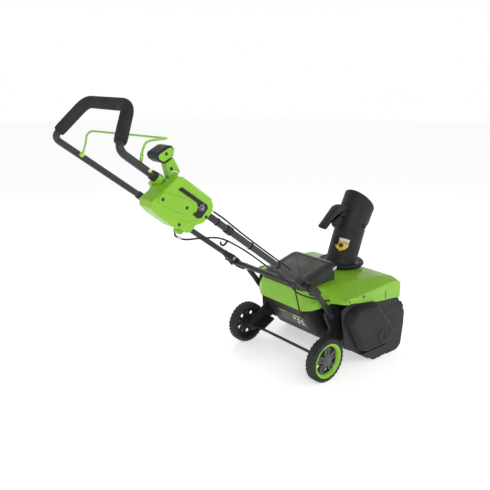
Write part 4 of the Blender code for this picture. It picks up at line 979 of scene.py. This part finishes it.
def make_handle():
    left, right = handle_corners(1), handle_corners(-1)
    path = fillet_path(left + right[::-1], (0.026, 0.036, 0.036, 0.026))
    piece("handle_bar", stack(pipe_loops(path, TUBE_R, 32)), "coated_tube", "upper_handle", "handle_tube")
    for side, tag in ((1, "left"), (-1, "right")):
        far = FOLD + UP_TUBE * 0.0300
        spots = [far + OFF_TUBE * 0.0125, far - OFF_TUBE * 0.0125]
        for k in range(15):
            angle = HANDLE_SLOPE + math.pi * 1.5 - math.pi * k / 14
            spots.append(FOLD + Vector((0, math.cos(angle), math.sin(angle))) * 0.0145)
        lug = extrude([p + OUT_LEFT * side * 0.1960 for p in spots], OUT_LEFT * side * 0.0186)
        piece(f"fold_lug_{tag}", lug, "coated_tube", "upper_handle", edge=0.0012)
        end = [(0.0, 0.0122), (0.030, 0.0122), (0.0315, 0.0112)]
        piece(f"tube_end_sleeve_{tag}", turned(end, FOLD + OUT_LEFT * side * 0.2057 + UP_TUBE * 0.024, UP_TUBE),
              "black_plastic", "upper_handle")


def make_foam():
    left, right = handle_corners(1), handle_corners(-1)
    starts = [c[1] + (c[2] - c[1]).normalized() * 0.028 for c in (left, right)]
    path = fillet_path([starts[0], left[2], right[2], starts[1]], (0.036, 0.036), 12)
    fine = []
    for a, b in zip(path, path[1:]):
        count = max(1, round((b - a).length / 0.006))
        fine += [a.lerp(b, k / count) for k in range(count)]
    fine.append(path[-1])
    radii = []
    for i in range(len(fine)):
        near_end = min(i, len(fine) - 1 - i)
        radii.append(FOAM_R - (0.0016, 0.0005, 0.0001)[near_end] if near_end < 3 else FOAM_R)
    loops = pipe_loops(fine, radii, 40)
    bore = pipe_loops(fine, TUBE_R + 0.0008, 40)
    piece("foam_sleeve", stack(loops + bore[::-1], ring=True), "foam", "upper_handle", "foam_grip", angle=50)


def make_bail():
    right = [(-BAIL_X, 0.730, 0.8943), (-BAIL_X, 0.742, 0.914), (-BAIL_X - 0.003, 0.738, 0.943),
             (-BAIL_X - 0.010, 0.730, 0.967), (-BAIL_X - 0.012, 0.714, 0.9725), (-0.2080, 0.668, 0.9740),
             (-0.2030, 0.661, 0.9740)]
    left = [(0.196, 0.690, 0.9670), (0.207, 0.697, 0.9620), (0.207, 0.707, 0.9510), (0.204, 0.710, 0.9360),
            (BAIL_X + 0.001, 0.722, 0.9130), (BAIL_X, 0.730, 0.8943)]
    corners = [here(*p) for p in right + left]
    radii = [min((b - a).length, (c - b).length) * 0.42 for a, b, c in zip(corners, corners[1:], corners[2:])]
    path = fillet_path(corners, radii, 6)
    piece("bail_wire", stack(pipe_loops(path, WIRE_R, 18)), "green_wire", "bail", "bail_bar")
    for side, tag in ((1, "left"), (-1, "right")):
        spot = BAIL + OUT_LEFT * side * BAIL_X
        eye = turned([(-0.0030, 0.0032), (0.0030, 0.0032), (0.0030, 0.0062), (0.0024, 0.0068), (-0.0024, 0.0068),
                      (-0.0030, 0.0062)], spot, OUT_LEFT, 32, ring=True)
        piece(f"bail_eye_{tag}", eye, "green_wire", "bail")
    flat = here(-BAIL_X - 0.001, 0.741, 0.928)
    up = (here(-BAIL_X - 0.003, 0.738, 0.943) - here(-BAIL_X, 0.742, 0.914)).normalized()
    back = up.cross(OUT_LEFT).normalized()
    outline = rounded([flat - up * 0.012 - back * 0.0050, flat + up * 0.012 - back * 0.0050,
                       flat + up * 0.012 + back * 0.0050, flat - up * 0.012 + back * 0.0050], 0.004)
    piece("bail_link_plate", extrude([p + OUT_RIGHT * 0.0024 for p in outline], OUT_RIGHT * 0.0018),
          "green_wire", "bail", edge=0.0004)
    rivet = [(0.0040, 0.0030), (0.0052, 0.0028), (0.0056, 0.0018)]
    piece("bail_rivet", turned(rivet, flat, OUT_RIGHT, 24), "plated_steel", "bail")
    cap = [(0.0, 0.0085), (0.0012, 0.0085), (0.0020, 0.0070)]
    seat = BAIL + OUT_LEFT * (HANDLE_X - TUBE_R + 0.0004)
    piece("bail_washer_left", turned(cap, seat, OUT_RIGHT, 32), "bright_green", "upper_handle")


def cable_routes():
    rear = Vector((-0.3100, 0.8320, -0.4604)).normalized()
    grommet = here(-0.118, 0.0022, 0.2452)
    power = [on_box(-0.0605, 0.0150, -0.2290), on_box(-0.085, 0.0150, -0.2300),
             on_box(-0.140, 0.0165, -0.2270), on_box(-0.230, 0.0160, -0.2150), on_box(-0.330, 0.0160, -0.2080),
             on_box(-0.430, 0.0170, -0.2020), on_box(-0.520, 0.0180, -0.1960),
             here(-0.185, 0.135, 0.4400), here(-0.172, 0.112, 0.4120), here(-0.149, 0.090, 0.378),
             here(-0.134, 0.062, 0.325), here(-0.128, 0.040, 0.272), grommet + rear * 0.024,
             grommet + rear * 0.016, grommet + rear * 0.0082]
    chute = [on_box(-0.012, -0.0905, -0.2060), on_box(-0.022, -0.105, -0.2060), on_box(-0.060, -0.098, -0.2050),
             on_box(-0.120, -0.064, -0.2000), on_box(-0.190, -0.032, -0.1960), on_box(-0.300, -0.020, -0.1940),
             on_box(-0.440, -0.020, -0.1900), on_box(-0.560, -0.022, -0.1860),
             here(-0.176, 0.110, 0.378), here(-0.175, 0.055, 0.346), here(-0.181, 0.000, 0.322),
             here(-0.1850, -0.035, 0.309), here(-0.1890, -0.0620, 0.304)]
    return power, chute


def make_cables():
    """Both cables bend where the handle folds; ferrules and ties hold them."""
    power, chute = cable_routes()
    for name, route, node in (("power_lead", power, "power_cable"), ("chute_cable_sheath", chute, "chute_cable")):
        lead = piece(name, stack(pipe_loops(smooth_path(route, 0.006), 0.0028, 16)), "rubber", "upper_handle", node)
        lead.parent = None
        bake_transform(lead)
    for name, route, first in (("power", power, 0), ("chute", chute, 1)):
        points = smooth_path(route, 0.006)
        a, b = points[3 * first + 1], points[3 * first + 5]
        ferrule = [(0.0, 0.0040), (0.001, 0.0046), (0.012, 0.0046), (0.013, 0.0040), (0.018, 0.0036)]
        piece(f"{name}_ferrule", turned(ferrule, a, b - a, 24), "plated_steel", "upper_handle")
    for k, along in enumerate((-0.130, -0.300, -0.455)):
        centre = on_box(along, 0.0, -HANDLE_X + 0.0044 * (0.3 - along) * 0.5)
        strap = [(-0.0022, TUBE_R + 0.0004), (-0.0022, TUBE_R + 0.0016), (0.0022, TUBE_R + 0.0016),
                 (0.0022, TUBE_R + 0.0004)]
        piece(f"cable_tie_{k}", turned(strap, centre, UP_TUBE, 40, ring=True), "rubber", "upper_handle")


def make_tube_fittings():
    centre = here(0.2105, 0.505, 0.7185)
    sleeve = [(-0.030, TUBE_R + 0.0002), (-0.030, TUBE_R + 0.0022), (-0.027, TUBE_R + 0.0030),
              (0.027, TUBE_R + 0.0030), (0.030, TUBE_R + 0.0022), (0.030, TUBE_R + 0.0002)]
    piece("tube_sleeve_left", turned(sleeve, centre, UP_TUBE, 40, ring=True), "black_plastic", "upper_handle")
    inner = centre + OUT_RIGHT * (TUBE_R + 0.0029)
    slot = rounded([inner + UP_TUBE * -0.020 + OFF_TUBE * -0.0022, inner + UP_TUBE * 0.006 + OFF_TUBE * -0.0022,
                    inner + UP_TUBE * 0.006 + OFF_TUBE * 0.0022, inner + UP_TUBE * -0.020 + OFF_TUBE * 0.0022], 0.002)
    piece("tube_sleeve_slot", extrude(slot, OUT_RIGHT * 0.0006), "black_plastic", "upper_handle", look="shadow_black")
    dot = turned([(0.0, 0.0030), (0.0012, 0.0028), (0.0015, 0.0018)], inner + UP_TUBE * -0.023, OUT_RIGHT, 24)
    piece("tube_sleeve_dot", dot, "grey_plastic", "upper_handle", look="label_white")
    hook = here(-0.2085, 0.452, 0.650)
    bends = ((-0.004, 0.0), (-0.012, 0.0), (-0.024, 0.004), (-0.028, 0.014), (-0.022, 0.022))
    path = smooth_path([hook + OFF_TUBE * off + UP_TUBE * up for off, up in bends], 0.002)
    piece("cable_hook", stack(pipe_loops(path, 0.0034, 14)), "black_plastic", "upper_handle")
    collar = [(-0.012, TUBE_R + 0.0004), (-0.012, TUBE_R + 0.0030), (0.012, TUBE_R + 0.0030),
              (0.012, TUBE_R + 0.0004)]
    piece("hook_clip", turned(collar, here(-0.2085, 0.452, 0.6783), UP_TUBE, 40, ring=True), "black_plastic",
          "upper_handle")
    top = on_box(0.136, 0.0, -HANDLE_X + 0.0002)
    sleeve = [(0.0, TUBE_R + 0.0002), (0.0, TUBE_R + 0.0034), (0.0030, TUBE_R + 0.0040), (0.014, TUBE_R + 0.0026),
              (0.015, TUBE_R + 0.0002)]
    piece("box_tube_sleeve", turned(sleeve, top, UP_TUBE, 40, ring=True), "black_plastic", "upper_handle")
    collar = [(0.0, TUBE_R + 0.0006), (0.0, TUBE_R + 0.0060), (0.016, TUBE_R + 0.0052), (0.017, TUBE_R + 0.0044),
              (0.017, TUBE_R + 0.0006)]
    piece("box_tube_collar", turned(collar, on_box(0.118, 0.0, -HANDLE_X + 0.0002), UP_TUBE, 40, ring=True),
          "green_shell", "upper_handle")


# ---------------------------------------------------------------- control box

BOX_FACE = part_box("control_box_outer")[0].x


def face_piece(name, spots, depth, slot, edge=0.0006, look=None, lift=0.0, corner=0.004):
    """A raised plate on the control box's outer face; spots are (along, above) the tube."""
    outline = [on_box(p.x, p.y, BOX_FACE + 0.0006 - lift) for p in rounded(spots, corner)]
    return piece(name, extrude(outline, OUT_RIGHT * (depth + 0.0006)), slot, "upper_handle", edge=edge, look=look)


def make_box_details():
    tongue = [(0.124, -0.030), (0.040, -0.008), (0.020, -0.010), (0.012, -0.024), (0.016, -0.040), (0.032, -0.050),
              (0.124, -0.064)]
    face_piece("box_tongue", tongue, 0.0026, "green_shell", 0.0012, corner=0.012)
    skirt_line = [(0.026, -0.0880), (0.030, -0.0740), (-0.016, -0.0460), (-0.026, -0.0520), (-0.022, -0.0780),
                  (-0.012, -0.0840)]
    face_piece("box_lower_facet", skirt_line, 0.0012, "green_shell", 0.0010, corner=0.004)
    for k, (along, above) in enumerate(((0.1126, -0.0480), (0.0310, -0.0290), (-0.0450, -0.0179), (0.0247, -0.0800))):
        lift = 0.0024 if k < 2 else 0.0002
        screw(f"box_screw_{k}", on_box(along, above, BOX_FACE - lift), OUT_RIGHT, 0.0032, "upper_handle")
    make_panel_marks()
    quadrant = []
    centre = Vector((0.096, 0.0245))
    for k in range(13):
        angle = math.radians(20 + 100 * k / 12)
        quadrant.append(centre + Vector((math.cos(angle), math.sin(angle))) * 0.0200)
    for k in range(12, -1, -1):
        angle = math.radians(20 + 100 * k / 12)
        quadrant.append(centre + Vector((math.cos(angle), math.sin(angle))) * 0.0165)
    bm = extrude([on_box(p.x, p.y, -0.2312) for p in quadrant], OUT_RIGHT * 0.0012)
    piece("lever_quadrant", bm, "plated_steel", "lever")
    tab = [(-0.020, -0.0840), (0.008, -0.0860), (0.000, -0.1010), (-0.014, -0.0985)]
    bm = extrude([on_box(p.x, p.y, -0.2180) for p in rounded(tab, 0.003)], OUT_RIGHT * 0.0200)
    piece("box_cable_tab", bm, "green_shell", "upper_handle", edge=0.0012)


def make_panel_marks():
    """Generic dial marks on the black panel: an open ring, a pointer and plain ticks."""
    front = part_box("control_panel")[0].x - 0.0003
    centre = Vector((-0.016, -0.004))

    def arc(name, radius, width, first, last, slot="label_white"):
        steps = 20
        angles = [math.radians(first + (last - first) * k / steps) for k in range(steps + 1)]
        outer = [centre + Vector((math.cos(a), math.sin(a))) * (radius + width) for a in angles]
        inner = [centre + Vector((math.cos(a), math.sin(a))) * radius for a in reversed(angles)]
        bm = extrude([on_box(p.x, p.y, front) for p in outer + inner], OUT_RIGHT * 0.0002)
        piece(name, bm, "grey_plastic", "upper_handle", look=slot)

    arc("panel_ring", 0.0062, 0.0009, 30, 320)
    arc("panel_dot", 0.0001, 0.0022, 0, 359)
    for k, angle in enumerate((-50, -20, 10, 40, 70)):
        arc(f"panel_tick_{k}", 0.0092, 0.0022, angle - 5, angle + 5)


def make_lever_details():
    cap = rounded([(0.1475, 0.0430), (0.1655, 0.0415), (0.1722, 0.0500), (0.1560, 0.0830), (0.1480, 0.0905),
                   (0.1375, 0.0860), (0.1330, 0.0745)], 0.005)
    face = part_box("lever_grip")[0].x
    bm = extrude([on_box(p.x, p.y, face + 0.0005) for p in cap], OUT_RIGHT * 0.0024)
    piece("lever_grip_cap", bm, "green_shell", "lever", edge=0.0010)
    screw("lever_grip_screw", on_box(0.1540, 0.0655, face - 0.0019), OUT_RIGHT, 0.0030, "lever")
    arm_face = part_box("lever_arm")[0].x
    screw("lever_arm_screw", on_box(0.1150, 0.0420, arm_face), OUT_RIGHT, 0.0030, "lever")


# ---------------------------------------------------------------- housing and drive

def make_cover_details():
    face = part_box("drive_cover")[0].x + 0.0025
    outline = [(-0.135, 0.269), (-0.198, 0.269), (-0.247, 0.261), (-0.342, 0.158), (-0.355, 0.131),
               (-0.344, 0.100), (-0.310, 0.079), (-0.205, 0.081), (-0.175, 0.094), (-0.090, 0.229),
               (-0.102, 0.256)]
    inner = offset(outline, -0.0125)
    deeper = offset(outline, -0.0155)
    rim = stack([[here(face + 0.0008, p.x, p.y) for p in rounded(inner, 0.006)],
                 [here(face - 0.0010, p.x, p.y) for p in rounded(offset(inner, -0.0006), 0.006)],
                 [here(face - 0.0010, p.x, p.y) for p in rounded(offset(deeper, 0.0006), 0.006)],
                 [here(face + 0.0008, p.x, p.y) for p in rounded(deeper, 0.006)]], ring=True)
    piece("cover_border_rib", rim, "black_plastic", "chassis", angle=30)
    # Three raised bars in light grey: the grey is painted highlight along the groove between the cover's face and its
    # ledge.
    for name, a, b, wide in (("upper", (-0.262, 0.252), (-0.349, 0.158), 0.0040),
                             ("lower", (-0.350, 0.104), (-0.318, 0.084), 0.0036),
                             ("bottom", (-0.302, 0.0765), (-0.212, 0.0785), 0.0034)):
        a, b = Vector(a), Vector(b)
        cross = Vector((a.y - b.y, b.x - a.x)).normalized() * wide
        spots = rounded([a - cross, b - cross, b + cross, a + cross], 0.0030)
        x = -0.2670 if name == "upper" else -0.2690
        bm = extrude([here(x, p.x, p.y) for p in spots], OUT_RIGHT * 0.0055)
        piece(f"cover_highlight_bar_{name}", bm, "black_plastic", "chassis", edge=0.0010, look="grey_plastic")
    boss = AUGER + OUT_LEFT * face
    ring = [(0.0, 0.0330), (0.0014, 0.0322), (0.0014, 0.0300), (0.0, 0.0294)]
    piece("cover_boss_ring", turned(ring, boss, OUT_RIGHT, 64, ring=True), "black_plastic", "chassis",
          look="shadow_black")
    for k in range(6):
        angle = math.tau * (k + 0.3) / 6
        spot = boss + Vector((0, math.cos(angle), math.sin(angle))) * 0.0262
        lobe = [(-0.0006, 0.0046), (0.0016, 0.0042), (0.0020, 0.0030)]
        piece(f"cover_boss_lobe_{k}", turned(lobe, spot, OUT_RIGHT, 20), "black_plastic", "chassis")
    spots = ((-0.209, 0.2211), (-0.168, 0.1329), (-0.116, 0.238), (-0.286, 0.206), (-0.300, 0.092))
    for k, (y, z) in enumerate(spots):
        screw(f"cover_screw_{k}", here(face - 0.0002, y, z), OUT_RIGHT, 0.0030, "chassis")


def make_plate_details():
    for sign, tag in ((-1, "right"), (1, "left")):
        out = Vector((sign, 0, 0))
        plate = sign * (0.2548)
        spots = [(-0.4077, 0.2163), (-0.4234, 0.1123), (-0.4350, 0.0330), (-0.120, 0.268)]
        if sign > 0:
            spots += [(-0.330, 0.225), (-0.230, 0.190), (-0.160, 0.150), (-0.240, 0.075)]
        else:
            spots += [(-0.3740, 0.2190)]
        for k, (y, z) in enumerate(spots):
            screw(f"plate_screw_{tag}_{k}", here(plate, y, z), out, 0.0036, "chassis")
        rib = [(-0.462, 0.195), (-0.440, 0.226), (-0.4365, 0.2240), (-0.4585, 0.1935)]
        bm = extrude([here(plate - sign * 0.0005, y, z) for y, z in rib], out * 0.0030)
        piece(f"plate_rib_{tag}", bm, "housing_black", "chassis", edge=0.0006)
    ribs = [((-0.415, 0.070), (-0.340, 0.235)), ((-0.365, 0.045), (-0.215, 0.225)),
            ((-0.415, 0.180), (-0.200, 0.075))]
    for k, (a, b) in enumerate(ribs):
        a, b = Vector(a), Vector(b)
        cross = Vector((a.y - b.y, b.x - a.x)).normalized() * 0.0030
        bm = extrude([here(0.2543, p.x, p.y) for p in rounded([a - cross, b - cross, b + cross, a + cross], 0.002)],
                     OUT_LEFT * 0.0028)
        piece(f"plate_left_brace_{k}", bm, "housing_black", "chassis", edge=0.0008)


def make_auger():
    inner, outer, half, steps = 0.058, 0.102, 0.0035, 48
    for side, tag in ((1, "left"), (-1, "right")):
        loops = []
        for k in range(steps + 1):
            t = k / steps
            angle = t * math.pi * 1.5
            spoke = Vector((0, math.cos(angle), math.sin(angle)))
            centre = AUGER + OUT_LEFT * side * (0.2312 + (0.0760 - 0.2312) * t)
            spots = ((inner, -1), (inner, 1), (outer - 0.004, 1), (outer, 0.55), (outer, -0.55),
                     (outer - 0.004, -1))
            loops.append([centre + spoke * r + OUT_LEFT * side * half * w for r, w in spots])
        piece(f"flight_{tag}", stack(loops), "rubber", "auger", f"auger_blade_{tag}")
        for k, t in enumerate((0.06, 0.36, 0.66, 0.94)):
            angle = t * math.pi * 1.5
            spoke = Vector((0, math.cos(angle), math.sin(angle)))
            spot = AUGER + OUT_LEFT * side * (0.2312 + (0.0760 - 0.2312) * t - half) + spoke * 0.068
            screw(f"flight_bolt_{tag}_{k}", spot, OUT_LEFT * -side, 0.0044, "auger", "plated_steel")


def make_bracket_details():
    for sign, tag in ((-1, "right"), (1, "left")):
        out = Vector((sign, 0, 0))
        for face, push in ((0.1955, out), (0.1820, -out)):
            bars = [((-0.066, 0.150), (0.004, 0.098)), ((-0.076, 0.236), (-0.050, 0.262)),
                    ((-0.070, 0.128), (-0.030, 0.100))]
            for k, (a, b) in enumerate(bars):
                a, b = Vector(a), Vector(b)
                cross = Vector((a.y - b.y, b.x - a.x)).normalized() * 0.0022
                spots = rounded([a - cross, b - cross, b + cross, a + cross], 0.0015)
                bm = extrude([here(sign * face, p.x, p.y) - push * 0.0003 for p in spots], push * 0.0020)
                side = "out" if face > 0.19 else "in"
                piece(f"bracket_rib_{tag}_{side}{k}", bm, "black_plastic", "chassis", edge=0.0006)
        nut = [(0.0, 0.0100), (0.0050, 0.0100), (0.0058, 0.0088)]
        spot = here(sign * 0.2108, -0.0637, 0.2464)
        piece(f"leg_knob_{tag}", turned(nut, spot - out * 0.0022, out, 6), "black_plastic", "chassis", edge=0.0008)


def make_knuckle_details():
    for sign, tag in ((-1, "right"), (1, "left")):
        out = Vector((sign, 0, 0))
        pin = [(0.0, 0.0075), (0.0030, 0.0075), (0.0042, 0.0060), (0.0044, 0.0020)]
        piece(f"fold_pin_{tag}", turned(pin, FOLD + out * 0.1936 - out * 0.0020, -out, 32), "plated_steel",
              "upper_handle")
        along = Vector((0, 0.6433, 0.7656))
        foot = here(sign * 0.200, 0.0360, 0.3698)
        band = [(-0.020, TUBE_R + 0.0004), (-0.020, TUBE_R + 0.0012), (-0.006, TUBE_R + 0.0016),
                (-0.006, TUBE_R + 0.0004)]
        piece(f"leg_ferrule_{tag}", turned(band, foot, along, 40, ring=True), "plated_steel", "chassis")
        bolt = [(0.0, 0.0050), (0.0026, 0.0048), (0.0034, 0.0030)]
        piece(f"knuckle_bolt_{tag}", turned(bolt, here(sign * 0.2348, 0.064, 0.382), out, 6), "dark_steel", "chassis",
              edge=0.0004)


def make_legs():
    for side, tag in ((1, "left"), (-1, "right")):
        foot, top = here(side * 0.200, -0.0637, 0.2464), here(side * 0.200, 0.0360, 0.3698)
        along = (top - foot).normalized()
        across = along.cross(OUT_LEFT)
        loops = []
        for k in range(34):
            t = -0.13 + 1.13 * k / 33
            mix = min(max((t - 0.22) / 0.30, 0), 1)
            mix = mix * mix * (3 - 2 * mix)
            half_x = 0.0032 + (TUBE_R - 0.0032) * mix
            half_w = 0.0145 + (TUBE_R - 0.0145) * mix
            if t < -0.04:
                half_w *= math.sqrt(max(1 - ((-0.04 - t) / 0.10) ** 2, 0.02))
            centre = foot + (top - foot) * t
            loops.append([centre + OUT_LEFT * half_x * math.cos(a) + across * half_w * math.sin(a)
                          for a in (math.tau * i / 32 for i in range(32))])
        piece(f"leg_bar_{tag}", stack(loops), "coated_tube", "chassis", f"leg_{tag}")


# ---------------------------------------------------------------- build

# Edge radius of the CAD nodes that keep their shape
EDGES = {
    "auger_housing": 0.0008, "scraper_bar": 0.0010, "side_plate_left": 0.0012, "side_plate_right": 0.0012,
    "bearing_cap_left": 0.0006, "drive_cover": 0.0016, "lower_body": 0.0014, "motor_case": 0.0010,
    "battery_tray": 0.0008, "battery_pack": 0.0030, "motor_controller": 0.0020, "deflector_trigger": 0.0025,
    "wheel_bracket_left": 0.0016, "wheel_bracket_right": 0.0016, "knuckle_left": 0.0024, "knuckle_right": 0.0024,
    "control_box_outer": 0.0010, "control_box_inner": 0.0010, "switch_module": 0.0010, "control_panel": 0.0006,
    "lever_arm": 0.0030, "lever_grip": 0.0055, "cam_lever_left": 0.0018, "cam_lever_right": 0.0018,
    "leg_bolt_left": 0.0006, "leg_bolt_right": 0.0006, "auger_bearing_left": 0.0004, "auger_bearing_right": 0.0004,
    "auger_pulley": 0.0003, "motor_rotor": 0.0003, "drive_belt": 0.0003, "auger_shaft": 0.0008,
    "bail_pin_left": 0.0003, "bail_pin_right": 0.0003, "cable_grommet": 0.0004, "lid_hinge_pin": 0.0004,
    "start_button": 0.0008,
}

make_camera()
LOOKS = make_looks()
make_studio()
for tag, out in (("left", OUT_LEFT), ("right", OUT_RIGHT)):
    make_tyre(tag)
    make_rim(tag, out)
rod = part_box("axle")
piece("axle_rod", turned([(0.0, 0.0050), (0.0015, 0.0060), (0.4975, 0.0060), (0.4990, 0.0050)],
                         (rod[0].x, AXLE.y, AXLE.z), OUT_LEFT, 32), "dark_steel", "chassis", "axle")
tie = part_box("cross_tube")
piece("cross_bar", turned([(0.0, TUBE_R), (tie[1].x - tie[0].x, TUBE_R)], (tie[0].x, *middle("cross_tube").yz),
                          OUT_LEFT, 40), "coated_tube", "chassis", "cross_tube")
make_hood()
make_hood_details()
make_rear_label()
make_lid()
make_tray_details()
make_chute()
make_deflector()
make_handle()
make_foam()
make_bail()
make_cables()
make_tube_fittings()
make_box_details()
make_lever_details()
make_cover_details()
make_plate_details()
make_auger()
make_bracket_details()
make_knuckle_details()
make_legs()
for node, edge in EDGES.items():
    refined(node, edge, look="cover_black" if node == "drive_cover" else None)
